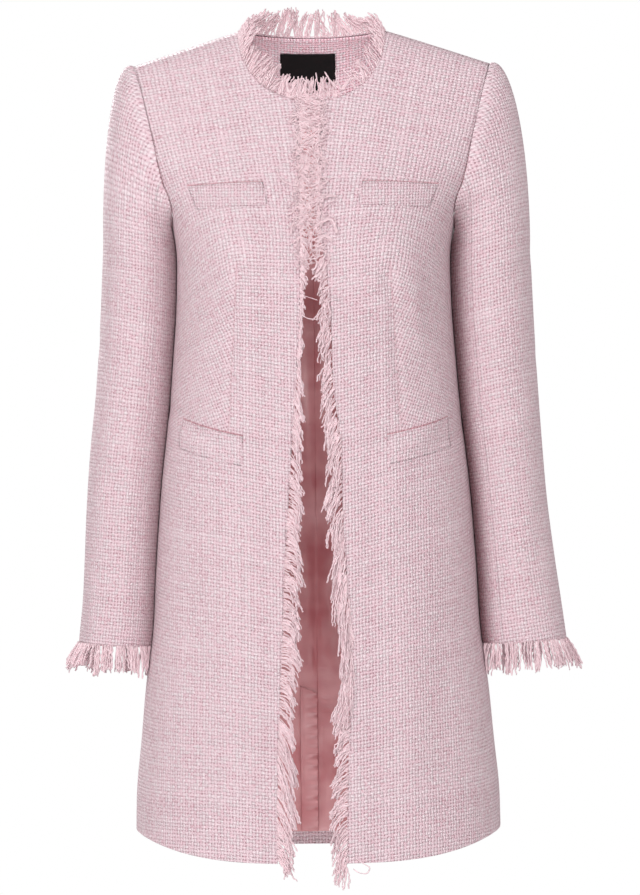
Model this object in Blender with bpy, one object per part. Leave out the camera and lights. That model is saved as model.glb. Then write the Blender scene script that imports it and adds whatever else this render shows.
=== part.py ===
"""A long, collarless tweed jacket with fringed edges, filled out as if worn.

The pieces are the ones a maker would cut and sew: two fronts, two back panels with a centre seam,
a two-piece sleeve on each side, welts, the neck facing, label, back lining and the fringed trims.
Every piece is a wall of cloth.  The body pieces share one surface, so their edges run parallel at
each seam, and what lies on a panel is worked out from that panel's own points, moved out or in.

Metres, +Z up.  The front faces -Y and the wearer's left is +X.  The origin is the middle of the
neck, level with the inner ends of the shoulder seams, where the wearer carries the jacket.
"""

import math

import bpy
import numpy as np


# ---------------------------------------------------------------- driving dimensions

TWEED = 0.0020                 # thickness of a single wall of tweed
LINING = 0.0010                # thickness of the satin lining
LABEL = 0.0008                 # thickness of the woven labels
FRINGE = 0.0030                # depth of the bunched fringe yarns
FRINGE_ABOVE = 0.25            # the share of it that stands above the cloth's face
SEAM = 0.0003                  # gap between neighbouring pieces
LAYER = 0.0005                 # gap between layers that lie on each other
FACING_LAYER = 0.0018          # the facing's gap, which the seam allowances fill
VENT_LAYER = 0.0013            # the gap under the vent's turned-in edge
LABEL_LAYER = 0.0012           # the gap under the labels

HEM_LEVEL = 0.8795             # centre back length, from the neck points to the hem
HEM_RISE = 0.0285              # how much higher the hem hangs at the side seams
HEM_RISE_FROM = 0.70           # level where the sides start to lift
HEM_RISE_POWER = 2.8

NECK_HALF_WIDTH = 0.0787
NECK_DEPTH = 0.0795            # front neckline, below the neck points
NECK_POWER = 2.15              # how square the round front neckline is
BACK_NECK_LEVEL = 0.0174       # level of the back neckline at the centre seam

SHOULDER_HALF = 0.1905         # from the centre to the shoulder tip
SHOULDER_SLOPE = 0.34
SHOULDER_BEND = 0.04           # how gently the two slopes meet at the centre
SHOULDER_ROUND = 0.120         # height over which the shoulder rounds into the panels
SHOULDER_FADE = 0.26           # height over which the slope dies out

ARMHOLE_TURN = 0.160           # level where the armhole starts to turn towards the underarm
UNDERARM_LEVEL = 0.208

BUST_FULLNESS = 0.010          # extra reach over the bust darts
BUST_ACROSS = 0.085
BUST_LEVEL = 0.240
BUST_WIDTH = 0.048
BUST_HEIGHT = 0.062
BLADE_FULLNESS = 0.005         # extra reach over the shoulder blades
BLADE_ACROSS = 0.080
BLADE_LEVEL = 0.150
BLADE_SIZE = 0.060

SLEEVE_RING_DROP = 0.235       # first full ring, just under the underarm
CUFF_DROP = 0.655
CUFF_TILT = 0.0024             # the cuff's inner side hangs this much lower than its middle
SLEEVE_POWER = 2.25
SLEEVE_TUCK = 0.006            # how far the sleeve reaches behind the body's side
SLEEVE_CLEAR = 0.0030          # free space between sleeve and body
SLEEVE_SOFT = 0.0030           # how softly the sleeve bends round the body
SLEEVE_SEAM_GAP = math.radians(0.2)

# The sleeve head's curve from the armhole to the first ring, at the shoulder tip and at the
# underarm: the way it leaves the body, how far it goes that way, and where it turns down, as a
# share of its height.
CAP_TOP = {"out": 0.90, "up": 0.45, "reach": 0.0225, "turn_down": 0.66}
CAP_UNDERARM = {"out": 0.30, "up": -0.75, "reach": 0.0060, "turn_down": 0.36}
CAP_FORWARD = 0.16             # how much its front and back also leave forwards and backwards
CAP_ROW_SPACING = 1.25         # rows crowd towards the armhole with this power

FACING_HALF_WIDTH = 0.112
FACING_LEVEL = 0.105
LINING_END_DROP = 0.8655       # the back lining ends above the tweed hem
VENT_TOP_DROP = 0.7060
VENT_SLANT = 0.0085            # its top end is slanted by this much
VENT_WIDTH = 0.0190

LABEL_WIDTH = 0.0616
LABEL_CENTRE = -0.0046         # it is sewn slightly off the centre
LABEL_TOP_DROP = 0.0190
LABEL_HEIGHT = 0.0300
TAB_WIDTH = 0.0270
TAB_HEIGHT = 0.0110

# The welts run from one angle round the body to another, in degrees.
CHEST_WELT = {"from": 11.8, "to": 46.5, "drop": 0.1668, "rise": -0.0025, "height": 0.0250}
HIP_WELT = {"from": 24.2, "to": 61.4, "drop": 0.4335, "rise": 0.0191, "height": 0.0308}

NECK_FRINGE_REACH = 0.0260
NECK_FRINGE_CLEAR = 0.0040     # where the front fringes start, below the neckline
TAIL_TAPER = 0.45              # how much narrower a front fringe ends below the hem
NECK_FRINGE_LIFT = 0.45        # how much the neck fringe stands up out of the cloth's plane
CUFF_FRINGE_REACH = 0.0300
CUFF_FRINGE_FLARE = 0.0130     # how far its outer side stands out, dying away round the arm
CUFF_FLARE_POWER = 1.5
CUFF_FRINGE_CLEAR = 0.0030     # free space between its tips and the body
OUTSIDE_NECK = (1.6, 1.6, 1.0)
BELOW_NECK = (0.0, 0.0, 0.05)

# Divisions of the meshes.  Rows down a panel are (level, rows down to it).
FRONT_COLUMNS = 10
BACK_COLUMNS = 8
LINING_COLUMNS = 4
WELT_COLUMNS = 7
FACING_ROWS = 5
VENT_ROWS = 3
TAIL_ROWS = 2
CAP_ROWS = 5
ARM_ROWS = 8
NECK_ROWS = {"front": 6, "back": 4}
UNDERARM_ROWS = 4
FRONT_CHEST_ROWS = ((ARMHOLE_TURN, 2),)
FRONT_ROWS = ((0.340, 3), (0.490, 5), (HEM_RISE_FROM, 4), (HEM_LEVEL, 3))
BACK_SHOULDER_ROWS = ((FACING_LEVEL, 3), (ARMHOLE_TURN, 2))
BACK_ROWS = ((HEM_RISE_FROM, 9), (LINING_END_DROP, 3), (HEM_LEVEL, 1))

SIDES = {"left": 1.0, "right": -1.0}

TWEED_COLOUR = (0.775, 0.578, 0.630)
FRINGE_COLOUR = (0.830, 0.665, 0.700)
LINING_COLOUR = (0.376, 0.156, 0.181)
LABEL_COLOUR = (0.004, 0.003, 0.004)


class Table:
    """Rows of sizes with named columns, read at any place between the rows along a smooth curve."""

    def __init__(self, columns, rows):
        values = np.array(rows, dtype=float)
        self.places = values[:, 0]
        self.columns = {}
        for index, name in enumerate(columns):
            self.columns[name] = values[:, index]

    def at(self, name, place):
        values = self.columns[name]
        steps = np.diff(self.places)
        rises = np.diff(values) / steps
        slopes = np.zeros(len(values))
        slopes[0] = rises[0]
        slopes[-1] = rises[-1]
        weight = steps[1:] / (steps[:-1] + steps[1:])
        slopes[1:-1] = rises[:-1] * weight + rises[1:] * (1.0 - weight)
        place = np.clip(place, self.places[0], self.places[-1])
        row = np.clip(np.searchsorted(self.places, place, side="right") - 1, 0, len(steps) - 1)
        step = steps[row]
        part = (place - self.places[row]) / step
        square = part * part
        cube = square * part
        return (values[row] * (2.0 * cube - 3.0 * square + 1.0)
                + values[row + 1] * (3.0 * square - 2.0 * cube)
                + slopes[row] * step * (cube - 2.0 * square + part)
                + slopes[row + 1] * step * (cube - square))


# The body's level sections.  A level is the drop below the shoulder seam near the top and the drop
# below the neck points lower down.  Above the underarm the half width is that of the full section,
# which the armhole cuts into.
BODY = Table(
    ("level", "half_width", "front_depth", "back_depth", "squareness"),
    (
        (0.000, 0.2320, 0.050, 0.100, 3.20),
        (0.050, 0.2140, 0.058, 0.106, 3.10),
        (0.100, 0.1940, 0.075, 0.112, 3.00),
        (0.150, 0.1735, 0.096, 0.115, 2.80),
        (0.200, 0.1528, 0.117, 0.114, 2.65),
        (0.230, 0.1470, 0.126, 0.110, 2.55),
        (0.275, 0.1463, 0.128, 0.103, 2.50),
        (0.355, 0.1513, 0.121, 0.095, 2.40),
        (0.400, 0.1550, 0.118, 0.094, 2.40),
        (0.480, 0.1640, 0.119, 0.102, 2.40),
        (0.565, 0.1707, 0.124, 0.112, 2.40),
        (0.650, 0.1762, 0.129, 0.118, 2.40),
        (0.695, 0.1825, 0.131, 0.120, 2.40),
        (0.770, 0.1887, 0.134, 0.123, 2.40),
        (0.835, 0.1936, 0.136, 0.125, 2.40),
        (0.880, 0.1946, 0.137, 0.126, 2.40),
    ),
)

# Where the armhole cuts the front and the back, measured out from the centre.
ARMHOLE = Table(
    ("level", "front", "back"),
    (
        (0.000, 0.1905, 0.1905),
        (0.028, 0.1830, 0.1860),
        (0.060, 0.1765, 0.1815),
        (0.100, 0.1690, 0.1760),
        (0.134, 0.1635, 0.1705),
        (0.160, 0.1580, 0.1620),
    ),
)

# The two front edges hang open: distance from the centre plane of each, and how far its fringe
# reaches over the opening.  The last rows are the fringe tails that hang below the hem.
FRONT_EDGE = Table(
    ("drop", "right", "left", "right_fringe", "left_fringe"),
    (
        (0.079, 0.0120, 0.0084, 0.0100, 0.0080),
        (0.219, 0.0132, 0.0072, 0.0098, 0.0085),
        (0.279, 0.0135, 0.0150, 0.0083, 0.0146),
        (0.333, 0.0157, 0.0183, 0.0063, 0.0142),
        (0.386, 0.0193, 0.0200, 0.0104, 0.0138),
        (0.426, 0.0228, 0.0255, 0.0130, 0.0180),
        (0.519, 0.0292, 0.0287, 0.0150, 0.0178),
        (0.606, 0.0343, 0.0330, 0.0170, 0.0165),
        (0.647, 0.0358, 0.0352, 0.0170, 0.0140),
        (0.717, 0.0389, 0.0338, 0.0167, 0.0135),
        (0.754, 0.0407, 0.0327, 0.0172, 0.0145),
        (0.860, 0.0426, 0.0300, 0.0190, 0.0175),
        (0.8795, 0.0428, 0.0300, 0.0190, 0.0175),
    ),
)
FRINGE_TAIL = {"right": 0.022, "left": 0.031}

# The arm part of the sleeves: outer side of each, half depth front to back, and the middle's place.
SLEEVE = Table(
    ("drop", "left", "right", "left_depth", "right_depth", "middle"),
    (
        (0.235, 0.2325, 0.2257, 0.0640, 0.0650, 0.0140),
        (0.310, 0.2355, 0.2292, 0.0615, 0.0630, 0.0130),
        (0.393, 0.2398, 0.2351, 0.0580, 0.0590, 0.0110),
        (0.436, 0.2426, 0.2398, 0.0560, 0.0565, 0.0095),
        (0.500, 0.2475, 0.2447, 0.0525, 0.0530, 0.0065),
        (0.565, 0.2551, 0.2476, 0.0480, 0.0495, 0.0025),
        (0.610, 0.2612, 0.2500, 0.0450, 0.0470, -0.0010),
        (0.655, 0.2672, 0.2545, 0.0420, 0.0450, -0.0040),
    ),
)


# ---------------------------------------------------------------- the body's surface

def stack(across, along, up):
    """Join three coordinate arrays into one array of points."""
    across, along, up = np.broadcast_arrays(across, along, up)
    return np.stack((across, along, up), axis=-1).astype(float)


def unit(vectors):
    return vectors / np.linalg.norm(vectors, axis=-1, keepdims=True)


def ease(part):
    """A step from 0 to 1 with soft ends."""
    part = np.clip(part, 0.0, 1.0)
    return part * part * (3.0 - 2.0 * part)


def shoulder_drop(across, level):
    """How far the sloping shoulder lowers a point of the body."""
    slope_length = np.hypot(across, SHOULDER_BEND) - math.hypot(NECK_HALF_WIDTH, SHOULDER_BEND)
    return SHOULDER_SLOPE * slope_length * (1.0 - ease(level / SHOULDER_FADE))


def level_at(across, drop):
    """The level that passes through a place seen from the front."""
    level = np.maximum(drop, 0.0)
    for _ in range(30):
        level = np.maximum(drop - shoulder_drop(across, level), 0.0)
    return level


def angle_at(across, level):
    """The angle, from the centre line, of a place at a distance across."""
    share = np.clip(across / BODY.at("half_width", level), 0.0, 1.0)
    return np.arcsin(share ** (BODY.at("squareness", level) / 2.0))


def body_point(angle, level):
    """The outer face of the body: angle 0 is centre front, a right angle the side seam."""
    exponent = 2.0 / BODY.at("squareness", level)
    sine = np.sin(angle)
    cosine = np.cos(angle)
    across = BODY.at("half_width", level) * np.sign(sine) * np.abs(sine) ** exponent
    depth = np.where(cosine >= 0.0, BODY.at("front_depth", level), BODY.at("back_depth", level))
    along = -depth * np.sign(cosine) * np.abs(cosine) ** exponent
    height = np.clip(level / SHOULDER_ROUND, 0.0, 1.0)
    along = along * np.sqrt(1.0 - (1.0 - height) ** 2)
    bust = np.exp(-((np.abs(across) - BUST_ACROSS) / BUST_WIDTH) ** 2
                  - ((level - BUST_LEVEL) / BUST_HEIGHT) ** 2)
    blade = np.exp(-((np.abs(across) - BLADE_ACROSS) / BLADE_SIZE) ** 2
                   - ((level - BLADE_LEVEL) / BLADE_SIZE) ** 2)
    along = along - BUST_FULLNESS * bust * np.clip(cosine, 0.0, 1.0)
    along = along + BLADE_FULLNESS * blade * np.clip(-cosine, 0.0, 1.0)
    lift = (HEM_RISE * np.abs(sine) ** HEM_RISE_POWER
            * ease((level - HEM_RISE_FROM) / (HEM_LEVEL - HEM_RISE_FROM)))
    drop = level + shoulder_drop(across, level) - lift
    return stack(across, along, -drop)


def body_normal(angle, level):
    """Outward direction of the body's face.  The level is stepped by its root, because the
    shoulder's roundness is infinitely steep at the seam."""
    step = 1e-4
    root = np.sqrt(np.maximum(level, 0.0))
    low = np.maximum(root - step, 0.0)
    high = root + step
    down = body_point(angle, high * high) - body_point(angle, low * low)
    round_way = body_point(angle + step, level) - body_point(angle - step, level)
    at_seam = np.broadcast_to((root < step)[..., None], down.shape)
    flat_way = stack(np.zeros_like(down[..., 0]), np.where(np.cos(angle) >= 0.0, -1.0, 1.0), 0.0)
    down = np.where(at_seam, flat_way, down)
    return unit(np.cross(down, round_way))


def body_half_width(along, drop):
    """Half width of the body where the sleeve passes it."""
    depth = np.where(along < 0.0, BODY.at("front_depth", drop), BODY.at("back_depth", drop))
    power = BODY.at("squareness", drop)
    share = np.clip(np.abs(along) / depth, 0.0, 1.0)
    return BODY.at("half_width", drop) * (1.0 - share ** power) ** (1.0 / power)


def seam_shift(front):
    """Fronts and backs move half a seam gap apart, which opens the shoulder and side seams."""
    return np.array((0.0, -SEAM / 2.0 if front else SEAM / 2.0, 0.0))


def front_neckline(across):
    """Level of the front neckline at a distance from the centre."""
    share = np.clip(across / NECK_HALF_WIDTH, 0.0, 1.0)
    drop = NECK_DEPTH * (1.0 - share ** NECK_POWER) ** (1.0 / NECK_POWER)
    return level_at(across, drop)


def back_neckline(across):
    """Level of the back neckline at a distance from the centre."""
    share = np.clip(across / NECK_HALF_WIDTH, 0.0, 1.0)
    return BACK_NECK_LEVEL * (1.0 - share ** 2) ** 1.5


def armhole_angle(level, part):
    """The panel's outer boundary: the armhole, then the side seam."""
    straight = angle_at(ARMHOLE.at(part, level), level)
    turn_start = float(angle_at(ARMHOLE.at(part, ARMHOLE_TURN), ARMHOLE_TURN))
    turn = np.clip((level - ARMHOLE_TURN) / (UNDERARM_LEVEL - ARMHOLE_TURN), 0.0, 1.0)
    curved = turn_start + (math.pi / 2.0 - turn_start) * (1.0 - np.sqrt(1.0 - turn * turn))
    return np.where(level < ARMHOLE_TURN, straight, curved)


# ---------------------------------------------------------------- walls of cloth

def make_object(name, points, faces, colour, roughness):
    """One named piece with its own material."""
    mesh = bpy.data.meshes.new(name)
    mesh.from_pydata([tuple(point) for point in points], [], faces)
    mesh.validate()
    material = bpy.data.materials.new(name + "_cloth")
    material.use_nodes = True
    shader = material.node_tree.nodes["Principled BSDF"]
    shader.inputs["Base Color"].default_value = (*colour, 1.0)
    shader.inputs["Roughness"].default_value = roughness
    shader.inputs["Metallic"].default_value = 0.0
    mesh.materials.append(material)
    mesh.shade_smooth()
    mesh.set_sharp_from_angle(angle=math.radians(40.0))
    piece = bpy.data.objects.new(name, mesh)
    COLLECTION.objects.link(piece)
    return piece


def make_wall(name, outer, inner, colour, roughness=0.9, loop=False):
    """Close the space between two grids of points, outer and inner, into one solid wall.

    The grids are arrays of rows and columns.  A loop joins the last column to the first.  Both
    layers are cut along the same diagonals, so walls that lie on each other never cross.
    """
    rows, columns = outer.shape[:2]
    count = rows * columns
    points = np.concatenate((outer.reshape(count, 3), inner.reshape(count, 3)))
    spans = columns if loop else columns - 1

    def corner(row, column, layer):
        return layer * count + row * columns + column % columns

    faces = []
    for row in range(rows - 1):
        for column in range(spans):
            here = corner(row, column, 0)
            below = corner(row + 1, column, 0)
            across = corner(row + 1, column + 1, 0)
            beside = corner(row, column + 1, 0)
            for face in ((here, below, across), (here, across, beside)):
                faces.append(face)
                faces.append(tuple(index + count for index in reversed(face)))
    for column in range(spans):
        faces.append((corner(0, column, 0), corner(0, column + 1, 0),
                      corner(0, column + 1, 1), corner(0, column, 1)))
        faces.append((corner(rows - 1, column + 1, 0), corner(rows - 1, column, 0),
                      corner(rows - 1, column, 1), corner(rows - 1, column + 1, 1)))
    if not loop:
        for row in range(rows - 1):
            faces.append((corner(row + 1, 0, 0), corner(row, 0, 0),
                          corner(row, 0, 1), corner(row + 1, 0, 1)))
            faces.append((corner(row, columns - 1, 0), corner(row + 1, columns - 1, 0),
                          corner(row + 1, columns - 1, 1), corner(row, columns - 1, 1)))
    if solid_volume(points, faces) < 0.0:
        faces = [tuple(reversed(face)) for face in faces]
    return make_object(name, points, faces, colour, roughness)


def solid_volume(points, faces):
    """Signed volume, which tells whether the faces look outwards."""
    total = 0.0
    for face in faces:
        first = points[face[0]]
        for second, third in zip(face[1:-1], face[2:]):
            total += float(np.dot(first, np.cross(points[second], points[third])))
    return total / 6.0


def mirror_to(side, points):
    """Points are worked out on the +X side and mirrored for the other."""
    return points * np.array((SIDES[side], 1.0, 1.0))


def body_wall(name, angle, level, front, depth, thickness, colour, side="left", roughness=0.9,
              shift=(0.0, 0.0, 0.0)):
    """A piece that follows the body.  Depth is how far its outer face lies inside the body's."""
    normal = body_normal(angle, level)
    outer = body_point(angle, level) - normal * depth + seam_shift(front) + np.array(shift)
    inner = outer - normal * thickness
    return make_wall(name, mirror_to(side, outer), mirror_to(side, inner), colour, roughness)


def rows_down(first, stops):
    """Levels in even steps from the first one down through each stop."""
    levels = []
    for stop, rows in stops:
        levels += list(np.linspace(first, stop, rows + 1)[1:])
        first = stop
    return levels


def underarm_levels():
    """Levels that crowd together towards the underarm, where the armhole runs level."""
    turn = np.sin(np.linspace(0.0, math.pi / 2.0, UNDERARM_ROWS + 1))[1:]
    return list(ARMHOLE_TURN + (UNDERARM_LEVEL - ARMHOLE_TURN) * turn)


def level_grid(inner_angle, outer_angle, levels, columns):
    """Rows at the given levels, each divided into equal lengths of cloth between two angles."""
    angle_rows = []
    for inner, outer, level in zip(inner_angle, outer_angle, levels):
        fine = np.linspace(inner, outer, 160)
        points = body_point(fine, np.full(fine.shape, level))
        lengths = np.linalg.norm(np.diff(points, axis=0), axis=1)
        travelled = np.concatenate(((0.0,), np.cumsum(lengths)))
        wanted = np.linspace(0.0, travelled[-1], columns + 1)
        angle_rows.append(np.interp(wanted, travelled, fine))
    angle = np.array(angle_rows)
    level = np.asarray(levels)[:, None] * np.ones_like(angle)
    return angle, level


# ---------------------------------------------------------------- fronts and backs

def front_neck_across(side):
    """Distances of the front neckline's points, from the neck point to the front edge."""
    edge_top = float(FRONT_EDGE.at(side, 0.0))
    turns = np.linspace(0.0, math.pi / 2.0, NECK_ROWS["front"] + 1)
    return edge_top + (NECK_HALF_WIDTH - edge_top) * np.cos(turns)


def back_neck_across():
    """Distances of the back neckline's points, from the neck point to the centre."""
    return NECK_HALF_WIDTH * np.cos(np.linspace(0.0, math.pi / 2.0, NECK_ROWS["back"] + 1))


def front_levels(side):
    """Levels of a front's rows."""
    neck = list(front_neckline(front_neck_across(side)))
    return np.array(neck + rows_down(neck[-1], FRONT_CHEST_ROWS) + underarm_levels()
                    + rows_down(UNDERARM_LEVEL, FRONT_ROWS))


def back_levels():
    """Levels of a back panel's rows, some of which its lining shares."""
    neck = list(back_neckline(back_neck_across()))
    return np.array(neck + rows_down(neck[-1], BACK_SHOULDER_ROWS) + underarm_levels()
                    + rows_down(UNDERARM_LEVEL, BACK_ROWS))


def build_front(side):
    levels = front_levels(side)
    inner = FRONT_EDGE.at(side, levels)
    neck = front_neck_across(side)
    inner[:len(neck)] = neck
    angle, level = level_grid(angle_at(inner, levels), armhole_angle(levels, "front"), levels,
                              FRONT_COLUMNS)
    return body_wall("front_" + side, angle, level, True, 0.0, TWEED, TWEED_COLOUR, side)


def build_back(side):
    levels = back_levels()
    inner = np.zeros(len(levels))
    neck = back_neck_across()
    inner[:len(neck)] = neck
    outer_angle = math.pi - armhole_angle(levels, "back")
    angle, level = level_grid(math.pi - angle_at(inner, levels), outer_angle, levels, BACK_COLUMNS)
    return body_wall("back_" + side, angle, level, False, 0.0, TWEED, TWEED_COLOUR, side,
                     shift=(SEAM / 2.0, 0.0, 0.0))


def build_welt(name, side, welt):
    """A pocket's welt: a strip of tweed that lies on the front."""
    share = np.linspace(0.0, 1.0, WELT_COLUMNS + 1)[None, :]
    angle = np.radians(welt["from"] + (welt["to"] - welt["from"]) * share)
    drop = welt["drop"] - welt["rise"] * share + np.array((0.0, welt["height"]))[:, None]
    across = body_point(angle, drop)[..., 0]
    level = level_at(across, drop)
    angle = angle + np.zeros_like(level)
    return body_wall(name + side, angle, level, True, -(TWEED + LAYER), TWEED, TWEED_COLOUR, side)


# ---------------------------------------------------------------- inside of the back

def build_facing():
    """Tweed facing inside the back neck, in one piece from shoulder seam to shoulder seam."""
    half = np.concatenate((back_neck_across()[::-1],
                           np.linspace(NECK_HALF_WIDTH, FACING_HALF_WIDTH, 3)[1:]))
    across = np.concatenate((-half[:0:-1], half))[None, :]
    top_root = np.sqrt(back_neckline(np.abs(across)))
    share = np.linspace(0.0, 1.0, FACING_ROWS + 1)[:, None]
    root = top_root + (math.sqrt(FACING_LEVEL - 2.0 * SEAM) - top_root) * share
    level = root * root
    across = across + np.zeros_like(level)
    angle = math.pi - np.sign(across) * angle_at(np.abs(across), level)
    return body_wall("back_neck_facing", angle, level, False, TWEED + FACING_LAYER, TWEED,
                     TWEED_COLOUR)


def build_label(name, centre, width, top_drop, height, columns):
    """A plain woven label on the neck facing."""
    across = np.linspace(centre - width / 2.0, centre + width / 2.0, columns + 1)[None, :]
    drop = np.linspace(top_drop, top_drop + height, 3)[:, None] + np.zeros_like(across)
    across = across + np.zeros_like(drop)
    level = level_at(np.abs(across), drop)
    angle = math.pi - np.sign(across) * angle_at(np.abs(across), level)
    depth = TWEED + FACING_LAYER + TWEED + LABEL_LAYER
    return body_wall(name, angle, level, False, depth, LABEL, LABEL_COLOUR, roughness=0.6)


def build_lining(side):
    """Satin lining of one back panel, from the facing down to just above the hem."""
    levels = back_levels()
    levels = levels[(levels > FACING_LEVEL - SEAM) & (levels < LINING_END_DROP + SEAM)]
    outer_angle = math.pi - armhole_angle(levels, "back")
    angle, level = level_grid(np.full(len(levels), math.pi), outer_angle, levels, LINING_COLUMNS)
    return body_wall("back_lining_" + side, angle, level, False, TWEED + LAYER, LINING,
                     LINING_COLOUR, side, 0.45, shift=(SEAM / 2.0, 0.0, 0.0))


def build_vent_facing():
    """The turned-in edge of the closed back vent, which lies on the lining beside its seam."""
    across = np.array((SEAM, VENT_WIDTH))[None, :]
    share = np.linspace(0.0, 1.0, VENT_ROWS + 1)[:, None]
    top = VENT_TOP_DROP + VENT_SLANT * (1.0 - across / VENT_WIDTH)
    level = top + (LINING_END_DROP - top) * share
    across = across + np.zeros_like(level)
    angle = math.pi - angle_at(across, level)
    depth = TWEED + LAYER + LINING + VENT_LAYER
    return body_wall("vent_facing", angle, level, False, depth, LINING, LINING_COLOUR, "right", 0.45)


# ---------------------------------------------------------------- sleeves

def armhole_point(turn):
    """The body's edge at a turn round the armhole: 0 at the shoulder tip, then down the front."""
    half_turn = np.where(turn <= math.pi, turn, 2.0 * math.pi - turn)
    front = turn <= math.pi
    level = UNDERARM_LEVEL * (1.0 - np.cos(half_turn)) / 2.0
    front_angle = armhole_angle(level, "front")
    back_angle = math.pi - armhole_angle(level, "back")
    return body_point(np.where(front, front_angle, back_angle), level)


def sleeve_ring(turn, drop, side):
    """A level ring of the arm part, bent softly round the body's side."""
    outer = SLEEVE.at(side, drop)
    inner = BODY.at("half_width", drop) - SLEEVE_TUCK
    depth = SLEEVE.at(side + "_depth", drop)
    exponent = 2.0 / SLEEVE_POWER
    cosine = np.cos(turn)
    sine = np.sin(turn)
    reach = np.sign(cosine) * np.abs(cosine) ** exponent
    across = (outer + inner) / 2.0 + (outer - inner) / 2.0 * reach
    along = SLEEVE.at("middle", drop) - depth * np.sign(sine) * np.abs(sine) ** exponent
    limit = body_half_width(along, drop) + SLEEVE_CLEAR
    across = (across + limit + np.sqrt((across - limit) ** 2 + SLEEVE_SOFT ** 2)) / 2.0
    tilt = CUFF_TILT * reach * ease((drop - 0.5) / (CUFF_DROP - 0.5))
    return stack(across, along, tilt - drop)


def sleeve_point(turn, place, side):
    """The sleeve's outer face.  Place 0 is the armhole, 1 the first ring and 2 the cuff."""
    turn, place = np.broadcast_arrays(np.asarray(turn, float), np.asarray(place, float))
    drop = SLEEVE_RING_DROP + (CUFF_DROP - SLEEVE_RING_DROP) * np.clip(place - 1.0, 0.0, 1.0)
    ring = sleeve_ring(turn, drop, side)
    start = armhole_point(np.mod(turn, 2.0 * math.pi))
    end = sleeve_ring(turn, np.full(turn.shape, SLEEVE_RING_DROP), side)
    upper = (1.0 + np.cos(turn)) / 2.0

    def between(name, share):
        return CAP_UNDERARM[name] + (CAP_TOP[name] - CAP_UNDERARM[name]) * share

    out_way = unit(stack(between("out", upper), -CAP_FORWARD * np.sin(turn), between("up", upper)))
    turn_down = (start[..., 2] - end[..., 2]) * between("turn_down", upper)
    start = start + out_way * SEAM
    lead = start + out_way * between("reach", np.sqrt(upper))[..., None]
    below = end + stack(0.0, 0.0, turn_down)
    part = np.clip(place, 0.0, 1.0)[..., None]
    rest = 1.0 - part
    cap = (start * rest ** 3 + 3.0 * lead * rest ** 2 * part
           + 3.0 * below * rest * part ** 2 + end * part ** 3)
    return np.where(place[..., None] <= 1.0, cap, ring)


def sleeve_normal(turn, place, side):
    step = 1e-3
    before = np.where(place > 1.0, np.maximum(place - step, 1.0), np.maximum(place - step, 0.0))
    after = np.where(place < 1.0, np.minimum(place + step, 1.0), np.minimum(place + step, 2.0))
    down = sleeve_point(turn, after, side) - sleeve_point(turn, before, side)
    round_way = sleeve_point(turn + step, place, side) - sleeve_point(turn - step, place, side)
    return unit(np.cross(round_way, down))


def armhole_turns(levels):
    """Turns round the armhole of the panel's row ends, from the shoulder tip to the underarm."""
    levels = levels[levels < UNDERARM_LEVEL + SEAM]
    return np.arccos(np.clip(1.0 - 2.0 * levels / UNDERARM_LEVEL, -1.0, 1.0))


def build_sleeve_piece(name, side, turns):
    place = np.concatenate((np.linspace(0.0, 1.0, CAP_ROWS + 1) ** CAP_ROW_SPACING,
                            np.linspace(1.0, 2.0, ARM_ROWS + 1)[1:]))
    turns = np.concatenate(((turns[0] + SLEEVE_SEAM_GAP,), turns[1:-1],
                            (turns[-1] - SLEEVE_SEAM_GAP,)))
    turn, place = np.meshgrid(turns, place)
    outer = sleeve_point(turn, place, side)
    normal = sleeve_normal(turn, place, side)
    inner = outer - normal * TWEED
    return make_wall(name + side, mirror_to(side, outer), mirror_to(side, inner), TWEED_COLOUR)


def build_sleeve(side):
    """Two pieces, whose armhole points are the row ends of the front and back panels."""
    front = armhole_turns(front_levels(side))
    back = armhole_turns(back_levels())
    front_seam = len(front) - UNDERARM_ROWS
    back_seam = len(back) - UNDERARM_ROWS - 1
    upper = np.concatenate((-back[:back_seam][::-1], front[1:front_seam]))
    under = np.concatenate((front[front_seam - 1:], 2.0 * math.pi - back[back_seam - 1:-1][::-1]))
    build_sleeve_piece("upper_sleeve_", side, upper)
    build_sleeve_piece("under_sleeve_", side, under)


# ---------------------------------------------------------------- fringes

def build_fringe(name, base, normal, reach, loop=False):
    """The plain solid of a fringe: from the cloth's edge out to the tips of its yarns.

    The base lies square to the cloth's edge, and the tips along the yarns.
    """
    path_way = unit(np.gradient(base, axis=0))
    if loop:
        path_way = unit(np.roll(base, -1, axis=0) - np.roll(base, 1, axis=0))
    side_way = unit(np.cross(path_way, reach))
    side_way = side_way * np.sign(np.sum(side_way * normal, axis=-1, keepdims=True))
    start = base + unit(reach) * SEAM * 1.5
    tip = base + reach
    above = FRINGE * FRINGE_ABOVE
    below = FRINGE - above
    outer = np.stack((start + normal * above, tip + side_way * above))
    inner = np.stack((start - normal * below, tip - side_way * below))
    return make_wall(name, outer, inner, FRINGE_COLOUR, 0.8, loop)


def away_from_cloth(base, normal, cloth_point):
    """Direction in the cloth's plane, square to its edge and away from a point on the cloth."""
    path_way = unit(np.gradient(base, axis=0))
    away = unit(np.cross(path_way, normal))
    towards = np.sum(away * (cloth_point - base), axis=-1, keepdims=True)
    return away * -np.sign(towards)


def neckline_half(side):
    """Base points and normals of the neckline from the front edge to the centre back."""
    across = front_neck_across(side)[::-1]
    level = front_neckline(across)
    front_angle = angle_at(across, level)
    front = body_point(front_angle, level)
    front_normal = body_normal(front_angle, level)
    across = back_neck_across()[1:]
    level = back_neckline(across)
    back_angle = math.pi - angle_at(across, level)
    back = body_point(back_angle, level)
    back_normal = body_normal(back_angle, level)
    base = np.concatenate((front, back))
    normal = np.concatenate((front_normal, back_normal))
    return mirror_to(side, base), mirror_to(side, normal)


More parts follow.
